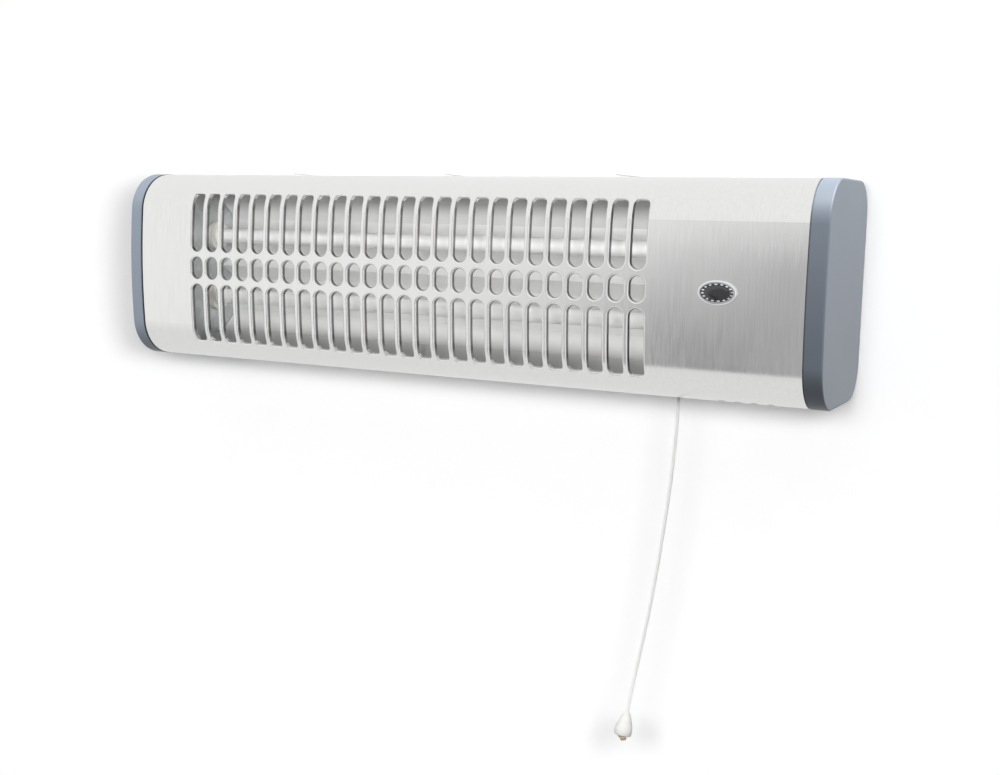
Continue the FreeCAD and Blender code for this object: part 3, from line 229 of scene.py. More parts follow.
class HeaterStage(bpy.types.PropertyGroup):
    """Camera and light."""
    camera_place: position("Camera place", "Where the camera stands", (0.392419, -0.747068, 0.039794))
    camera_yaw: angle("Camera yaw", "Turn of the camera to the heater's right", 27.5288)
    camera_pitch: angle("Camera pitch", "Downward tilt of the camera", 7.8542)
    camera_roll: angle("Camera roll", "Roll of the camera", 1.1623)
    camera_lens: FloatProperty(name="Camera lens", description="Focal length", default=45.2315,
                               unit="CAMERA")
    wall_gap: length("Wall gap", "Space between the heater's back and the wall", 0.001)
    world_light: light("World light", "Light from all round", 0.18)
    sky_light: light("Sky light", "Light added from above", 0.7)
    key_light: light("Key light", "Light from beside the camera", 26)
    key_offset: position("Key offset", "Key light's place from the camera", (-0.1, 0, 0.2))
    inner_light: light("Inner light", "Light that reaches behind the grille", 23)
    inner_offset: position("Inner offset", "Inner light's place from the camera", (-0.2, 0, -0.12))
    strip_light: light("Strip light", "Power of the lamp over the right end", 6)
    strip_place: position("Strip place", "Middle of the lamp over the right end", (0.36, -0.16, 0.42))
    fill_light: light("Fill light", "Power of the lamp on the left end cap", 5.5)
    fill_place: position("Fill place", "Middle of the lamp on the left", (-0.7, -0.45, 0.4))
    wall_light: light("Wall light", "Light that only the wall takes", 32)
    card_low: position("Card low", "Lower left corner of the grey card", (-0.47, -1.1, -0.82))
    card_high: position("Card high", "Upper right corner of the grey card", (0.5, -1.1, 0.22))


def pick(active):
    """Leave one object selected and active, in object mode."""
    if bpy.context.object and bpy.context.object.mode != "OBJECT":
        bpy.ops.object.mode_set(mode="OBJECT")
    bpy.ops.object.select_all(action="DESELECT")
    if active:
        active.select_set(True)
        bpy.context.view_layer.objects.active = active


def finished(piece, name, body, slot, *stands_for):
    """Name a modelled piece, settle it at the origin and tie it to the frame."""
    pick(piece)
    bpy.ops.object.transform_apply(location=True, rotation=True, scale=True)
    piece.name = name
    piece.data.name = name
    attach(piece, body)
    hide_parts(*stands_for)
    return piece


def turned(profile, segments):
    """A closed turned shape up Z from rings of radius and height, started from a circle."""
    pick(None)
    first_radius, first_height = profile[0]
    bpy.ops.mesh.primitive_circle_add(vertices=segments, radius=first_radius, fill_type="NGON",
                                      location=(0, 0, first_height))
    piece = bpy.context.object
    bpy.ops.object.transform_apply(location=True, rotation=True, scale=True)
    bpy.ops.object.mode_set(mode="EDIT")
    bpy.ops.mesh.select_all(action="SELECT")
    for (radius, height), (next_radius, next_height) in zip(profile, profile[1:]):
        share = next_radius / radius
        bpy.ops.mesh.extrude_region_move(TRANSFORM_OT_translate={"value": (0, 0, next_height - height)})
        bpy.ops.transform.resize(value=(share, share, 1), center_override=(0, 0, next_height))
    bpy.ops.mesh.select_all(action="SELECT")
    bpy.ops.mesh.normals_make_consistent(inside=False)
    bpy.ops.object.mode_set(mode="OBJECT")
    return piece


def rounded(piece, levels):
    """Smooth a piece with an applied subdivision."""
    pick(piece)
    smooth = piece.modifiers.new("Rounding", "SUBSURF")
    smooth.levels = levels
    smooth.render_levels = levels
    bpy.ops.object.modifier_apply(modifier=smooth.name)
    bpy.ops.object.shade_smooth()


def new_group(name, inputs, outputs):
    """An empty shader group with its sockets."""
    tree = bpy.data.node_groups.new(name, "ShaderNodeTree")
    for label, kind, default in inputs:
        socket = tree.interface.new_socket(label, in_out="INPUT", socket_type=kind)
        socket.default_value = default
    for label, kind in outputs:
        tree.interface.new_socket(label, in_out="OUTPUT", socket_type=kind)
    return tree, tree.nodes.new("NodeGroupInput"), tree.nodes.new("NodeGroupOutput")


def feed(tree, socket, value):
    """Give a socket a plain value or another socket's output."""
    if isinstance(value, bpy.types.NodeSocket):
        tree.links.new(value, socket)
    else:
        socket.default_value = value


def calculated(tree, kind, operation, inputs):
    """The outputs of a maths node of one kind."""
    node = tree.nodes.new(kind)
    node.operation = operation
    for socket, value in zip(node.inputs, inputs):
        feed(tree, socket, value)
    return node.outputs


def math_node(tree, operation, *inputs):
    """The result of a maths node on sockets or numbers."""
    return calculated(tree, "ShaderNodeMath", operation, inputs)["Value"]


def vector_node(tree, operation, *inputs):
    """The outputs of a maths node on sockets or vectors."""
    return calculated(tree, "ShaderNodeVectorMath", operation, inputs)


def ramp(tree, value, start, end, low, high):
    """A smooth change from low to high as a value goes from start to end."""
    node = tree.nodes.new("ShaderNodeMapRange")
    node.interpolation_type = "SMOOTHSTEP"
    for label, setting in (("Value", value), ("From Min", start), ("From Max", end), ("To Min", low),
                           ("To Max", high)):
        feed(tree, node.inputs[label], setting)
    return node.outputs["Result"]


def noise(tree, place, scale, detail):
    """Noise at a place, from 0 to 1."""
    node = tree.nodes.new("ShaderNodeTexNoise")
    node.inputs["Scale"].default_value = scale
    node.inputs["Detail"].default_value = detail
    tree.links.new(place, node.inputs["Vector"])
    return node.outputs["Fac"]


def coordinates(tree, kind):
    """Where a point is, in one kind of coordinates."""
    return tree.nodes.new("ShaderNodeTexCoord").outputs[kind]


def parts(tree, vector):
    """A vector's X, Y and Z."""
    node = tree.nodes.new("ShaderNodeSeparateXYZ")
    tree.links.new(vector, node.inputs["Vector"])
    return node.outputs


def shaded(tree, colour_socket, brightness, leave):
    """Lead a colour, made lighter or darker, out of a group."""
    scaled = tree.nodes.new("ShaderNodeVectorMath")
    scaled.operation = "SCALE"
    tree.links.new(colour_socket, scaled.inputs[0])
    tree.links.new(brightness, scaled.inputs["Scale"])
    tree.links.new(scaled.outputs["Vector"], leave.inputs["Colour"])


def sunken_shade(tree, place, settings):
    """The painted shade of a place by its depth under a curved front, within the front's reach up and down.
    """
    offset = vector_node(tree, "SUBTRACT", place, settings["Front Centre"])["Vector"]
    section = vector_node(tree, "MULTIPLY", offset, (0, 1, 1))["Vector"]
    distance = vector_node(tree, "LENGTH", section)["Value"]
    depth = math_node(tree, "SUBTRACT", settings["Front Radius"], distance)
    height = math_node(tree, "ABSOLUTE", parts(tree, offset)["Z"])
    within = math_node(tree, "SUBTRACT", settings["Front Reach"], height)
    within = math_node(tree, "MAXIMUM", math_node(tree, "DIVIDE", within, REACH_FADE), 0)
    within = math_node(tree, "MINIMUM", within, 1)
    sunk = math_node(tree, "MULTIPLY", ramp(tree, depth, *COLLAR_DEPTHS, 0, 1), within)
    loss = math_node(tree, "MULTIPLY", sunk, math_node(tree, "SUBTRACT", 1, settings["Inner Shade"]))
    return math_node(tree, "SUBTRACT", 1, loss)


def make_grain_group():
    """Grain: noise stretched by its scale, which shades the colour, the roughness and the height.

    A band also paints shade into the colour by how far a point lies from the middle along one axis, and an
    inner shade is painted on what lies under a front that is curved about X.
    """
    tree, enter, leave = new_group("Grain", [
        ("Colour", "NodeSocketColor", (0.8, 0.8, 0.8, 1)),
        ("Scale", "NodeSocketVector", (1000, 1000, 1000)),
        ("Tone", "NodeSocketFloat", 0.1),
        ("Roughness", "NodeSocketFloat", 0.4),
        ("Roughness Spread", "NodeSocketFloat", 0.1),
        ("Blotch", "NodeSocketFloat", 0.05),
        ("Band Axis", "NodeSocketVector", (0, 0, 0)),
        ("Band Start", "NodeSocketFloat", 0),
        ("Band End", "NodeSocketFloat", 1),
        ("Band Inside", "NodeSocketFloat", 1),
        ("Band Outside", "NodeSocketFloat", 1),
        ("Front Centre", "NodeSocketVector", (0, 0, 0)),
        ("Front Radius", "NodeSocketFloat", 0),
        ("Front Reach", "NodeSocketFloat", 0),
        ("Inner Shade", "NodeSocketFloat", 1),
    ], [("Colour", "NodeSocketColor"), ("Roughness", "NodeSocketFloat"), ("Height", "NodeSocketFloat")])
    settings = enter.outputs
    place = coordinates(tree, "Object")
    stretched = vector_node(tree, "MULTIPLY", place, settings["Scale"])["Vector"]
    fine = noise(tree, stretched, scale=1, detail=3)
    broad = noise(tree, place, scale=BLOTCH_SCALE, detail=2)
    fine_shift = math_node(tree, "SUBTRACT", fine, NOISE_MIDDLE)
    broad_shift = math_node(tree, "SUBTRACT", broad, NOISE_MIDDLE)
    tone = math_node(tree, "MULTIPLY", fine_shift, settings["Tone"])
    blotch = math_node(tree, "MULTIPLY", broad_shift, settings["Blotch"])
    brightness = math_node(tree, "ADD", math_node(tree, "ADD", tone, blotch), 1)
    along = vector_node(tree, "DOT_PRODUCT", place, settings["Band Axis"])["Value"]
    band = ramp(tree, math_node(tree, "ABSOLUTE", along), settings["Band Start"], settings["Band End"],
                settings["Band Inside"], settings["Band Outside"])
    # Painted shade: the band and the depth under the front darken the colour
    brightness = math_node(tree, "MULTIPLY", brightness, band)
    brightness = math_node(tree, "MULTIPLY", brightness, sunken_shade(tree, place, settings))
    shaded(tree, settings["Colour"], brightness, leave)
    change = math_node(tree, "MULTIPLY", math_node(tree, "ADD", fine_shift, broad_shift),
                       settings["Roughness Spread"])
    tree.links.new(math_node(tree, "ADD", settings["Roughness"], change), leave.inputs["Roughness"])
    tree.links.new(fine, leave.inputs["Height"])
    return tree


def make_spangle_group():
    """Spangle: the crystal patches of a zinc coat, as a change of tone and roughness."""
    tree, enter, leave = new_group("Spangle", [
        ("Colour", "NodeSocketColor", (0.6, 0.6, 0.6, 1)),
        ("Scale", "NodeSocketFloat", 160),
        ("Tone", "NodeSocketFloat", 0.25),
        ("Roughness", "NodeSocketFloat", 0.4),
    ], [("Colour", "NodeSocketColor"), ("Roughness", "NodeSocketFloat")])
    settings = enter.outputs
    cells = tree.nodes.new("ShaderNodeTexVoronoi")
    tree.links.new(coordinates(tree, "Object"), cells.inputs["Vector"])
    tree.links.new(settings["Scale"], cells.inputs["Scale"])
    split = tree.nodes.new("ShaderNodeSeparateColor")
    tree.links.new(cells.outputs["Color"], split.inputs["Color"])
    shift = math_node(tree, "SUBTRACT", split.outputs["Red"], NOISE_MIDDLE)
    tone = math_node(tree, "MULTIPLY", shift, settings["Tone"])
    shaded(tree, settings["Colour"], math_node(tree, "ADD", tone, 1), leave)
    change = math_node(tree, "MULTIPLY", shift, PATCH_SPREAD)
    tree.links.new(math_node(tree, "ADD", settings["Roughness"], change), leave.inputs["Roughness"])
    return tree


def make_braid_group():
    """Braid: crossing diagonal strands on a thin vertical cord, as height and painted shade in the grooves.
    """
    tree, enter, leave = new_group("Braid", [
        ("Colour", "NodeSocketColor", (0.9, 0.9, 0.9, 1)),
        ("Pitch", "NodeSocketFloat", 0.0016),
        ("Shade", "NodeSocketFloat", 0.2),
    ], [("Colour", "NodeSocketColor"), ("Height", "NodeSocketFloat")])
    settings = enter.outputs
    spot = parts(tree, coordinates(tree, "Object"))
    turns = math_node(tree, "DIVIDE", math.tau, settings["Pitch"])
    level = math_node(tree, "ADD", spot["X"], spot["Y"])
    waves = []
    for side in (-1, 1):
        across = math_node(tree, "MULTIPLY", level, side)
        phase = math_node(tree, "MULTIPLY", math_node(tree, "ADD", spot["Z"], across), turns)
        waves.append(math_node(tree, "SINE", phase))
    height = math_node(tree, "MAXIMUM", *waves)
    # Painted shade: darker where the strands dip, in the grooves between them
    dark = math_node(tree, "MULTIPLY", math_node(tree, "SUBTRACT", height, 1), settings["Shade"])
    shaded(tree, settings["Colour"], math_node(tree, "ADD", dark, 1), leave)
    tree.links.new(height, leave.inputs["Height"])
    return tree


def shared(name, maker):
    """A shader group, made once."""
    return bpy.data.node_groups.get(name) or maker()


def placed(material, tree, values):
    """A group node in a material, with its inputs set."""
    node = material.node_tree.nodes.new("ShaderNodeGroup")
    node.node_tree = tree
    for label, value in values.items():
        node.inputs[label].default_value = value
    return node


def bumped(material, height, strength, distance):
    """Raise the surface by a height."""
    tree = material.node_tree
    bump = tree.nodes.new("ShaderNodeBump")
    bump.inputs["Strength"].default_value = strength
    bump.inputs["Distance"].default_value = distance
    tree.links.new(height, bump.inputs["Height"])
    tree.links.new(bump.outputs["Normal"], tree.nodes["Principled BSDF"].inputs["Normal"])


def new_material(name, sockets):
    """A material whose shader has plain values on its sockets."""
    material = bpy.data.materials.new(name)
    material.use_nodes = True
    shader = material.node_tree.nodes["Principled BSDF"]
    for label, value in sockets.items():
        shader.inputs[label].default_value = value
    return material, shader


def grained(name, base, scale, tone, roughness, spread, bump=0.0, depth=0.0001, blotch=0.05, shading=None,
            **sockets):
    """A finish made of grain: brushed, rolled or moulded, by its scale, with painted shade added if given.
    """
    material, shader = new_material(name, sockets)
    node = placed(material, shared("Grain", make_grain_group), {
        "Colour": (*base, 1), "Scale": scale, "Tone": tone, "Roughness": roughness,
        "Roughness Spread": spread, "Blotch": blotch, **(shading or {}),
    })
    material.node_tree.links.new(node.outputs["Colour"], shader.inputs["Base Color"])
    material.node_tree.links.new(node.outputs["Roughness"], shader.inputs["Roughness"])
    if bump:
        bumped(material, node.outputs["Height"], bump, depth)
    return material


def banded(axis, start, end, inside, outside):
    """The settings of a band of painted shade: its axis, where it changes and its shade on either side."""
    return {"Band Axis": axis, "Band Start": start, "Band End": end, "Band Inside": inside,
            "Band Outside": outside}


def zinc_coated(name, base):
    """Galvanised sheet."""
    material, shader = new_material(name, {"Metallic": 1.0})
    node = placed(material, shared("Spangle", make_spangle_group), {"Colour": (*base, 1)})
    material.node_tree.links.new(node.outputs["Colour"], shader.inputs["Base Color"])
    material.node_tree.links.new(node.outputs["Roughness"], shader.inputs["Roughness"])
    return material


def braided(name, base, shade):
    """Braided cord."""
    material, shader = new_material(name, {"Roughness": 0.75, "Sheen Weight": 0.3})
    node = placed(material, shared("Braid", make_braid_group), {"Colour": (*base, 1), "Shade": shade})
    material.node_tree.links.new(node.outputs["Colour"], shader.inputs["Base Color"])
    bumped(material, node.outputs["Height"], BRAID_BUMP, BRAID_DEPTH)
    return material


def paint(material, *names):
    """Give CAD nodes a finish."""
    for name in names:
        mesh = nodes[name].data
        mesh.materials.clear()
        mesh.materials.append(material)


def colours():
    """The colours as they are set now."""
    return bpy.context.scene.heater_colours


def sizes():
    """The sizes as they are set now."""
    return bpy.context.scene.heater_sizes


class HEATER_OT_stage(bpy.types.Operator):
    """Set the camera, the wall and the light"""
    bl_idname = "heater.stage"
    bl_label = "Set Stage"

    def execute(self, context):
        scene = context.scene
        stage = scene.heater_stage
        scene.view_settings.view_transform = "Standard"
        self.place_camera(scene, stage)
        wall = self.place_wall(stage)
        self.place_card(stage)
        self.place_lights(stage, wall)
        self.paint_world(scene, stage)
        return {"FINISHED"}

    def place_camera(self, scene, stage):
        """A camera turned by its yaw, pitch and roll."""
        yaw, pitch, roll = stage.camera_yaw, stage.camera_pitch, stage.camera_roll
        back = Vector((math.sin(yaw) * math.cos(pitch), -math.cos(yaw) * math.cos(pitch), math.sin(pitch)))
        right = (-back).cross(Vector((0, 0, 1))).normalized()
        up = right.cross(-back)
        turned_right = math.cos(roll) * right + math.sin(roll) * up
        turned_up = math.cos(roll) * up - math.sin(roll) * right
        bpy.ops.object.camera_add()
        camera = bpy.context.object
        axes = Matrix((turned_right, turned_up, back)).transposed().to_4x4()
        camera.matrix_world = Matrix.Translation(stage.camera_place) @ axes
        camera.data.lens = stage.camera_lens
        camera.data.sensor_width = FILM_WIDTH
        camera.data.clip_start = NEAREST_SEEN
        camera.data.clip_end = FARTHEST_SEEN
        scene.camera = camera

    def place_wall(self, stage):
        """A white wall that shows the heater's shadow from the front and is clear from behind."""
        pick(None)
        spot = (cad_box[0] + cad_box[1]) / 2
        spot.y = cad_box[1].y + stage.wall_gap
        bpy.ops.mesh.primitive_plane_add(size=WALL_SIZE, location=spot, rotation=(math.radians(90), 0, 0))
        wall = bpy.context.object
        wall.name = "wall"
        wall.visible_diffuse = False
        wall.visible_glossy = False
        wall.visible_transmission = False
        wall.visible_shadow = False
        tree = self.bare_tree(wall, "wall_white")
        matt = tree.nodes.new("ShaderNodeBsdfDiffuse")
        matt.inputs["Color"].default_value = WALL_WHITE
        side = tree.nodes.new("ShaderNodeNewGeometry")
        clear = tree.nodes.new("ShaderNodeBsdfTransparent")
        self.mixed(tree, side.outputs["Backfacing"], matt.outputs["BSDF"], clear.outputs["BSDF"],
                   "ShaderNodeOutputMaterial")
        return wall

    def bare_tree(self, thing, name):
        """The empty node tree of a new material on a thing."""
        material = bpy.data.materials.new(name)
        material.use_nodes = True
        material.node_tree.nodes.clear()
        thing.data.materials.append(material)
        return material.node_tree

    def mixed(self, tree, share, first, second, output):
        """Mix two shaders into a tree's output."""
        mix = tree.nodes.new("ShaderNodeMixShader")
        tree.links.new(share, mix.inputs["Fac"])
        tree.links.new(first, mix.inputs[1])
        tree.links.new(second, mix.inputs[2])
        tree.links.new(mix.outputs["Shader"], tree.nodes.new(output).inputs["Surface"])

    def place_card(self, stage):
        """A grey studio card in front of the heater, which only shiny surfaces see."""
        pick(None)
        low, high = Vector(stage.card_low), Vector(stage.card_high)
        bpy.ops.mesh.primitive_plane_add(size=1, location=(low + high) / 2,
                                         rotation=(math.radians(90), 0, 0))
        card = bpy.context.object
        card.scale = (high.x - low.x, high.z - low.z, 1)
        bpy.ops.object.transform_apply(location=True, rotation=True, scale=True)
        card.name = "grey_card"
        card.visible_camera = False
        card.visible_diffuse = False
        card.visible_transmission = False
        card.visible_shadow = False
        tree = self.bare_tree(card, "card_grey")
        spot = parts(tree, coordinates(tree, "Object"))
        across, up = spot["X"], spot["Z"]
        left = ramp(tree, across, low.x, low.x + CARD_FADES["left"], 0, 1)
        right = ramp(tree, across, high.x - CARD_FADES["right"], high.x, 1, 0)
        bottom = ramp(tree, up, low.z, low.z + CARD_FADES["bottom"], 0, 1)
        top = ramp(tree, up, high.z - CARD_FADES["top"], high.z, 1, 0)
        cover = math_node(tree, "MULTIPLY", math_node(tree, "MULTIPLY", left, right),
                          math_node(tree, "MULTIPLY", bottom, top))
        glow = tree.nodes.new("ShaderNodeEmission")
        glow.inputs["Color"].default_value = CARD_TINT
        dark_side = ramp(tree, up, *CARD_DARK_GLOW)
        pale_side = ramp(tree, up, *CARD_PALE_GLOW)
        blend = tree.nodes.new("ShaderNodeMix")
        tree.links.new(ramp(tree, across, *CARD_BLEND, 0, 1), blend.inputs["Factor"])
        tree.links.new(dark_side, blend.inputs["A"])
        tree.links.new(pale_side, blend.inputs["B"])
        tree.links.new(blend.outputs["Result"], glow.inputs["Strength"])
        clear = tree.nodes.new("ShaderNodeBsdfTransparent")
        self.mixed(tree, cover, clear.outputs["BSDF"], glow.outputs["Emission"], "ShaderNodeOutputMaterial")

    def even_lamp(self, name, place, radius, power):
        """A soft round lamp that lights a wall across Y as strongly far off as near."""
        pick(None)
        bpy.ops.object.light_add(type="POINT", location=place)
        lamp = bpy.context.object
        lamp.name = name
        lamp.data.shadow_soft_size = radius
        lamp.data.energy = 1
        lamp.data.use_nodes = True
        tree = lamp.data.node_tree
        tree.nodes.clear()
        aim = parts(tree, coordinates(tree, "Normal"))
        slant = math_node(tree, "MAXIMUM", math_node(tree, "ABSOLUTE", aim["Y"]), LEAST_SLANT)
        reach = tree.nodes.new("ShaderNodeLightFalloff")
        tree.links.new(math_node(tree, "DIVIDE", power, slant), reach.inputs["Strength"])
        glow = tree.nodes.new("ShaderNodeEmission")
        tree.links.new(reach.outputs["Constant"], glow.inputs["Strength"])
        tree.links.new(glow.outputs["Emission"], tree.nodes.new("ShaderNodeOutputLight").inputs["Surface"])
        return lamp

    def place_lights(self, stage, wall):
        """The lamps, each with what it lights."""
        camera = Vector(stage.camera_place)
        key = self.even_lamp("key_lamp", camera + Vector(stage.key_offset), LAMP_RADIUS, stage.key_light)
        key.visible_glossy = False
        spot = camera + Vector(stage.inner_offset)
        inner = self.even_lamp("inner_lamp", spot, LAMP_RADIUS, stage.inner_light)
        self.link(inner, "INCLUDE", *(nodes[name] for name in BEHIND_GRILLE))
        across = Vector((math.cos(stage.camera_yaw), math.sin(stage.camera_yaw), 0))
        for name, side, share in WALL_LAMPS:
            spot = camera + across * side + Vector((0, 0, WALL_LAMP_RISE))
            lamp = self.even_lamp(name, spot, WALL_LAMP_RADIUS, stage.wall_light * share)
            self.link(lamp, "INCLUDE", wall)
        strip = self.soft_box("strip_lamp", stage.strip_place, STRIP_SIZE, STRIP_TARGET, stage.strip_light)
        fill = self.soft_box("fill_lamp", stage.fill_place, FILL_SIZE, FILL_TARGET, stage.fill_light)
        fill.visible_glossy = False
        self.link(key, "EXCLUDE", wall, nodes["end_cap_right"])
        self.link(strip, "INCLUDE", nodes["end_cap_left"], nodes["end_cap_right"])
        self.link(fill, "INCLUDE", nodes["end_cap_left"])

    def soft_box(self, name, place, size, target, power):
        """A rectangular lamp turned towards a point."""
        pick(None)
        bpy.ops.object.light_add(type="AREA", location=place)
        lamp = bpy.context.object
        lamp.name = name
        lamp.data.shape = "RECTANGLE"
        lamp.data.size, lamp.data.size_y = size
        lamp.data.energy = power
        lamp.rotation_euler = (Vector(place) - Vector(target)).to_track_quat("Z", "Y").to_euler()
        return lamp

    def link(self, lamp, state, *takers):
        """Let a lamp light some objects alone, or all but those."""
        linked = bpy.data.collections.new(lamp.name + "_takers")
        for taker in takers:
            linked.objects.link(taker)
        for entry in linked.collection_objects:
            entry.light_linking.link_state = state
        lamp.light_linking.receiver_collection = linked

    def paint_world(self, scene, stage):
        """White to the camera, greyer below to shiny surfaces, and to the rest a sky, stronger above."""
        world = bpy.data.worlds.new("studio")
        scene.world = world
        world.use_nodes = True
        tree = world.node_tree
        tree.nodes.clear()
        rays = tree.nodes.new("ShaderNodeLightPath")
        seen = math_node(tree, "MAXIMUM", rays.outputs["Is Camera Ray"], rays.outputs["Is Glossy Ray"])
        seen = math_node(tree, "MAXIMUM", seen, rays.outputs["Is Transmission Ray"])
        slope = parts(tree, coordinates(tree, "Generated"))["Z"]
        above = math_node(tree, "MAXIMUM", slope, 0)
        sky = tree.nodes.new("ShaderNodeBackground")
        added = math_node(tree, "MULTIPLY", above, stage.sky_light)
        tree.links.new(math_node(tree, "ADD", added, stage.world_light), sky.inputs["Strength"])
        white = tree.nodes.new("ShaderNodeBackground")
        for shader in (sky, white):
            shader.inputs["Color"].default_value = (1, 1, 1, 1)
        floor = ramp(tree, slope, *FLOOR_GLOW)
        level = math_node(tree, "MAXIMUM", floor, rays.outputs["Is Camera Ray"])
        tree.links.new(level, white.inputs["Strength"])
        self.mixed(tree, seen, sky.outputs["Background"], white.outputs["Background"],
                   "ShaderNodeOutputWorld")


class HEATER_OT_pull_cord(bpy.types.Operator):
    """Hang the pull cord with its bell and knot"""
    bl_idname = "heater.pull_cord"
    bl_label = "Hang Pull Cord"

    def execute(self, context):
        bell = self.make_bell()
        knot = self.make_knot()
        cord = self.make_cord()
        return {"FINISHED"}

    def hang(self, piece):
        """Move a piece made at the origin to the cord's end, leaning with its last run."""
        end = Vector(CORD_ROUTE[-1])
        run = end - Vector(CORD_ROUTE[-2])
        lean = Vector((0, 0, -1)).rotation_difference(run)
        piece.matrix_world = Matrix.Translation(end) @ lean.to_matrix().to_4x4()

    def strand(self, name, points, thick, rings):
        """A round cord along a list of points, as a smooth curve."""
        curve = bpy.data.curves.new(name + "_line", "CURVE")
        curve.dimensions = "3D"
        spline = curve.splines.new("NURBS")
        spline.points.add(len(points) - 1)
        for point, place in zip(spline.points, points):
            point.co = (*place, 1)
        spline.order_u = 3
        spline.use_endpoint_u = True
        spline.resolution_u = 12
        curve.bevel_depth = thick / 2
        curve.bevel_resolution = rings
        curve.use_fill_caps = True
        piece = bpy.data.objects.new(name, curve)
        bpy.context.scene.collection.objects.link(piece)
        return piece

    def make_cord(self):
        """The cord along its route, left as a curve."""
        cord = self.strand("cord", CORD_ROUTE, sizes().cord_diameter, rings=5)
        cord.data.materials.append(braided("cord_braid", colours().cord, shade=0.06))
        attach(cord, "pull")
        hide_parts("pull_cord")
        return cord

    def make_bell(self):
        """A drop-shaped bell, hollow at its mouth."""
        wide = sizes().bell_radius
        profile = [
            (0.0010, 0.0), (0.0016, -0.0002), (0.0023, -0.0015), (0.0034, -0.0040), (0.0043, -0.0066),
            (0.0051, -0.0091), (wide, -0.0112), (wide * 0.96, -0.0130), (0.0048, -0.0143), (0.0043, -0.0145),
            (0.0037, -0.0144), (0.0035, -0.0138), (0.0034, -0.0090), (0.0032, -0.0085), (0.0008, -0.0085),
        ]
        bell = turned(profile, segments=32)
        rounded(bell, levels=2)
        plastic = grained("bell_plastic", colours().bell, (300, 300, 300), tone=0.02, roughness=0.28,
                          spread=0.1)
        bell.data.materials.append(plastic)
        self.hang(bell)
        return finished(bell, "bell", "pull", "white_plastic", "pull_bell")

    def make_knot(self):
        """A barrel knot: turns of cord wound round its own end, with a short tail."""
        thick = sizes().knot_cord
        steps = 8
        winding = 0.0019
        pitch = thick * 0.95
        top = -0.0097
        points = [(0, 0, top + 0.0002), (winding * 0.6, 0, top)]
        for step in range(steps * sizes().knot_turns + 1):
            turn = math.tau * step / steps
            points.append((winding * math.cos(turn), winding * math.sin(turn), top - pitch * step / steps))
        last = points[-1][2]
        points += [(winding * 0.7, winding * 0.5, last - 0.0004), (0, winding * 0.2, last - 0.0007),
                   (-winding * 0.4, 0, last - 0.0010)]
        knot = self.strand("knot", points, thick, rings=4)
        pick(knot)
        bpy.ops.object.convert(target="MESH")
        bpy.ops.object.shade_smooth()
        knot.data.materials.append(braided("knot_braid", colours().knot, shade=0.35))
        self.hang(knot)
        return finished(knot, "knot", "pull", "knot_braid", "cord_knot")


class HEATER_OT_indicator(bpy.types.Operator):
    """Cut the lamp's lens and finish the lamp"""
    bl_idname = "heater.indicator"
    bl_label = "Finish Indicator Lamp"

    def execute(self, context):
        self.make_lens()
        hues = colours()
        chrome = grained("bezel_chrome", hues.chrome, (900, 900, 900), tone=0.02, roughness=0.07,
                         spread=0.05, Metallic=1.0)
        paint(chrome, "indicator_bezel")
        glass = grained("neon_glass", hues.neon, (60, 60, 60), tone=0.05, roughness=0.08, spread=0.02,
                        Alpha=0.5)
        paint(glass, "neon_lamp")
        return {"FINISHED"}

    def make_lens(self):
        """A cloudy smoked lens with a low cut crown, and a row of bright teeth inside its rim."""
        low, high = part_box("indicator_lens")
        reach = (high - low) / 2
        rise = sizes().lens_crown
        sides = 2 * sizes().lens_teeth
        tooth_band = 0.17
        tooth_inset = 0.03
        tooth_rise = 0.0002
        least_slope = 0.001
        crown_steps = ((tooth_band, 0.3), (0.05, 0.35), (0.2, 0.25), (0.2, 0.1))
        pick(None)
        bpy.ops.mesh.primitive_cylinder_add(vertices=sides, radius=1, depth=high.y - low.y,
                                            rotation=(math.radians(90), 0, 0))
        lens = bpy.context.object
        bpy.ops.object.transform_apply(location=True, rotation=True, scale=True)
        smoked = grained("smoked_lens", colours().lens, (700, 700, 700), tone=0.6, roughness=0.08,
                         spread=0.04, blotch=0.8, **{"Coat Weight": 0.6, "Specular IOR Level": 0.6})
        lens.data.materials.append(smoked)
        bright = grained("lens_teeth", colours().chrome, (900, 900, 900), tone=0.05, roughness=0.12,
                         spread=0.05, Metallic=1.0)
        lens.data.materials.append(bright)
        bpy.ops.object.mode_set(mode="EDIT")
        bpy.ops.mesh.select_all(action="DESELECT")
        bpy.ops.mesh.select_mode(type="FACE")
        mesh = bmesh.from_edit_mesh(lens.data)
        front = min(mesh.faces, key=lambda face: face.normal.y)
        front.select = True
        bmesh.update_edit_mesh(lens.data)
        for inset, share in crown_steps:
            bpy.ops.mesh.inset(thickness=inset)
            bpy.ops.transform.translate(value=(0, -rise * share, 0))
        mesh = bmesh.from_edit_mesh(lens.data)
        for face in mesh.faces:
            spot = face.calc_center_median()
            step = math.atan2(spot.z, spot.x) / math.tau * sides
            outer = math.hypot(spot.x, spot.z) > 1 - tooth_band
            face.select = face.normal.y < -least_slope and outer and math.floor(step) % 2 == 0
        bmesh.update_edit_mesh(lens.data)
        lens.active_material_index = 1
        bpy.ops.object.material_slot_assign()
        bpy.ops.mesh.inset(thickness=tooth_inset, depth=tooth_rise, use_individual=True)
        bpy.ops.object.mode_set(mode="OBJECT")
        lens.scale = (reach.x, 1, reach.z)
        lens.location = (low + high) / 2
        return finished(lens, "lens", "heater", "smoked_lens", "indicator_lens")


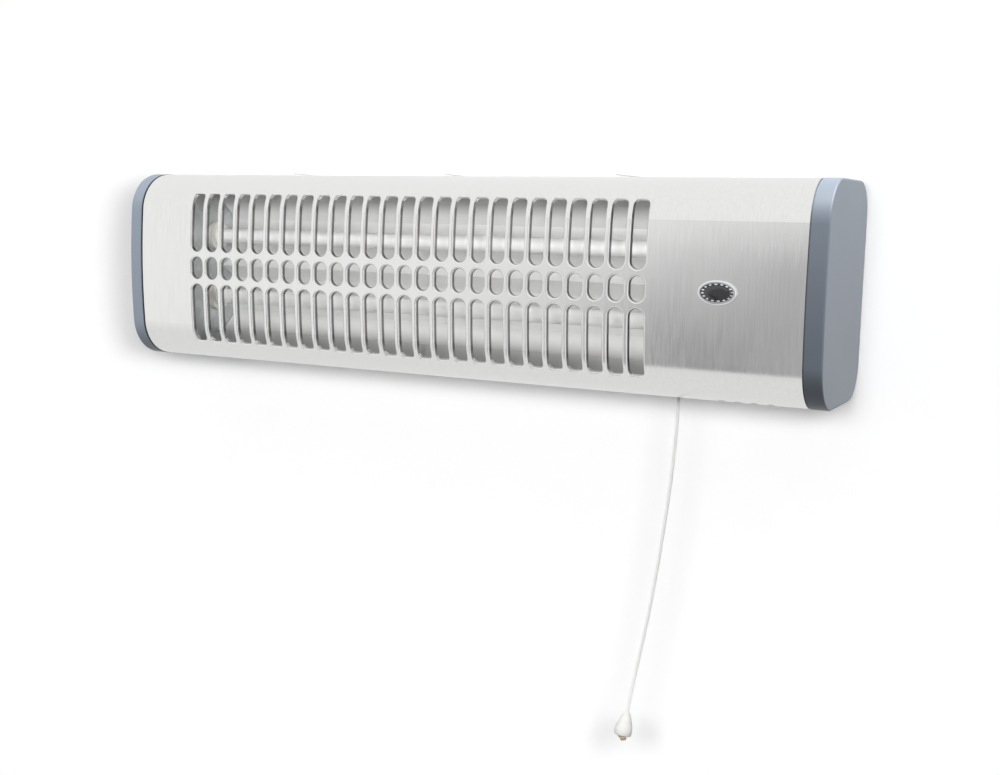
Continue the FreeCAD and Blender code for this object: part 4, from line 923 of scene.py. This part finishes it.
class HEATER_OT_housing(bpy.types.Operator):
    """Finish the steel front, the end caps and the back"""
    bl_idname = "heater.housing"
    bl_label = "Finish Housing"

    def execute(self, context):
        hues = colours()
        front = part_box("front_shell")[0].y
        # Painted shade: the steel is darkened where it lies deeper than the front's surface, on the slots'
        # collars and the inside
        painted_collar_shade = {"Front Centre": (0, front + FRONT_RADIUS, 0), "Front Radius": FRONT_RADIUS,
                       "Front Reach": FRONT_REACH, "Inner Shade": COLLAR_SHADE}
        steel = grained("brushed_steel", hues.steel, (1200, 1200, 12), tone=0.14, roughness=0.24, spread=0.1,
                        bump=0.06, depth=0.00005, blotch=0.03, shading=painted_collar_shade, Metallic=1.0,
                        Anisotropic=0.5)
        tree = steel.node_tree
        tangent = tree.nodes.new("ShaderNodeTangent")
        tangent.direction_type = "RADIAL"
        tangent.axis = "Z"
        tree.links.new(tangent.outputs["Tangent"], tree.nodes["Principled BSDF"].inputs["Tangent"])
        paint(steel, "front_shell")
        # Painted shadow: a thin dark line in the left cap's colour where it meets the steel, standing in for
        # the seam's shadow
        seam = -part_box("end_cap_left")[0].x - CAP_LENGTH
        painted_seam_shadow = banded((1, 0, 0), seam, seam + SEAM_WIDTH, SEAM_SHADE, 1)
        for name, cap, shading in (("cap_plastic", "end_cap_right", None),
                                   ("cap_plastic_painted_seam_shadow", "end_cap_left", painted_seam_shadow)):
            plastic = grained(name, hues.caps, (1700, 1700, 1700), tone=0.06, roughness=0.42, spread=0.08,
                              bump=0.1, depth=0.00005, shading=shading, **{"Specular IOR Level": 0.4})
            paint(plastic, cap)
        zinc = zinc_coated("zinc_sheet", hues.zinc)
        paint(zinc, "back_plate", "wall_bracket", "tube_bracket_left", "tube_bracket_right",
              "switch_bracket")
        plating = grained("screw_plating", hues.screws, (1400, 1400, 1400), tone=0.12, roughness=0.3,
                          spread=0.15, Metallic=1.0)
        paint(plating, "shell_screws", "cap_screws", "bracket_screws", "switch_screws", "terminal_screws",
              "earth_screw")
        rubber = grained("grommet_rubber", hues.rubber, (900, 900, 900), tone=0.2, roughness=0.7,
                         spread=0.15, bump=0.2)
        paint(rubber, "inlet_grommet")
        guide = grained("guide_plastic", hues.bell, (900, 900, 900), tone=0.03, roughness=0.35, spread=0.1)
        paint(guide, "cord_guide")
        return {"FINISHED"}


class HEATER_OT_heating(bpy.types.Operator):
    """Finish the tubes, their coils and insulators, and the reflector"""
    bl_idname = "heater.heating"
    bl_label = "Finish Heating Tubes"

    def execute(self, context):
        hues = colours()
        # Painted shade: the reflector is darkened towards its top and bottom edges
        painted_edge_shade = banded((0, 0, 1), *REFLECTOR_EDGE, 1, REFLECTOR_EDGE_SHADE)
        sheet = grained("reflector_sheet", hues.reflector, (12, 900, 900), tone=0.06, roughness=0.32,
                        spread=0.06, bump=0.05, depth=0.00005, shading=painted_edge_shade, Metallic=0.35)
        paint(sheet, "reflector")
        quartz = grained("frosted_quartz", hues.quartz, (20, 700, 700), tone=0.05, roughness=0.4, spread=0.1,
                         Alpha=0.95)
        paint(quartz, "quartz_tube_upper", "quartz_tube_lower")
        wire = grained("coil_wire", hues.coil, (600, 600, 600), tone=0.3, roughness=0.5, spread=0.2,
                       Metallic=1.0)
        paint(wire, "heating_coil_upper", "heating_coil_lower")
        ceramic = grained("ceramic_body", hues.ceramic, (1100, 1100, 1100), tone=0.08, roughness=0.7,
                          spread=0.15, bump=0.15)
        paint(ceramic, "ceramic_upper_left", "ceramic_upper_right", "ceramic_lower_left",
              "ceramic_lower_right")
        brass = grained("brass_strip", hues.brass, (40, 900, 900), tone=0.12, roughness=0.32, spread=0.12,
                        Metallic=1.0)
        paint(brass, "tube_terminals", "link_strip", "moving_contact", "fixed_contacts")
        dark = grained("dark_plastic", hues.dark_plastic, (1300, 1300, 1300), tone=0.2, roughness=0.45,
                       spread=0.12, bump=0.1)
        paint(dark, "thermal_cutout", "indicator_holder")
        return {"FINISHED"}


class HEATER_OT_switch(bpy.types.Operator):
    """Finish the pull switch, the terminals and the wires"""
    bl_idname = "heater.switch"
    bl_label = "Finish Switch and Wiring"

    def execute(self, context):
        hues = colours()
        plastic = grained("switch_plastic", hues.switch_plastic, (1300, 1300, 1300), tone=0.05,
                          roughness=0.45, spread=0.1, bump=0.1)
        paint(plastic, "switch_body", "switch_cover", "pull_plunger", "switch_rotor")
        wire = grained("spring_wire", hues.spring, (800, 800, 800), tone=0.1, roughness=0.28, spread=0.1,
                       Metallic=1.0)
        paint(wire, "return_spring", "rotor_axle")
        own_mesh(nodes["return_spring"])
        nylon = grained("terminal_nylon", hues.nylon, (1100, 1100, 1100), tone=0.05, roughness=0.5,
                        spread=0.1, bump=0.08)
        paint(nylon, "terminal_block")
        for name, base, wires in (("brown_sleeve", hues.brown_wire, ("wire_live", "wire_switched")),
                                  ("white_sleeve", hues.white_wire, ("wire_upper_tube", "wire_lamp")),
                                  ("blue_sleeve", hues.blue_wire, ("wire_neutral",))):
            sleeve = grained(name, base, (700, 700, 700), tone=0.1, roughness=0.55, spread=0.12, bump=0.1)
            paint(sleeve, *wires)
        return {"FINISHED"}


class HEATER_PT_panel(bpy.types.Panel):
    """Shows the heater's operators and settings in the sidebar"""
    bl_idname = "HEATER_PT_panel"
    bl_label = "Heater"
    bl_space_type = "VIEW_3D"
    bl_region_type = "UI"
    bl_category = "Heater"

    def draw(self, context):
        for operator in OPERATORS:
            self.layout.operator(operator.bl_idname)
        scene = context.scene
        for settings in (scene.heater_sizes, scene.heater_colours, scene.heater_stage):
            column = self.layout.column()
            for label in settings.__annotations__:
                column.prop(settings, label)


OPERATORS = (
    HEATER_OT_stage,
    HEATER_OT_pull_cord,
    HEATER_OT_indicator,
    HEATER_OT_housing,
    HEATER_OT_heating,
    HEATER_OT_switch,
)
CLASSES = (HeaterSizes, HeaterColours, HeaterStage, *OPERATORS, HEATER_PT_panel)


def register():
    """Add the settings, the operators and the panel."""
    for item in CLASSES:
        bpy.utils.register_class(item)
    bpy.types.Scene.heater_sizes = PointerProperty(type=HeaterSizes)
    bpy.types.Scene.heater_colours = PointerProperty(type=HeaterColours)
    bpy.types.Scene.heater_stage = PointerProperty(type=HeaterStage)


def unregister():
    """Take the settings, the operators and the panel away."""
    del bpy.types.Scene.heater_stage
    del bpy.types.Scene.heater_colours
    del bpy.types.Scene.heater_sizes
    for item in reversed(CLASSES):
        bpy.utils.unregister_class(item)


def main():
    """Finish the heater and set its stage."""
    register()
    bpy.ops.heater.stage()
    bpy.ops.heater.pull_cord()
    bpy.ops.heater.indicator()
    bpy.ops.heater.housing()
    bpy.ops.heater.heating()
    bpy.ops.heater.switch()


if __name__ == "__main__":
    main()
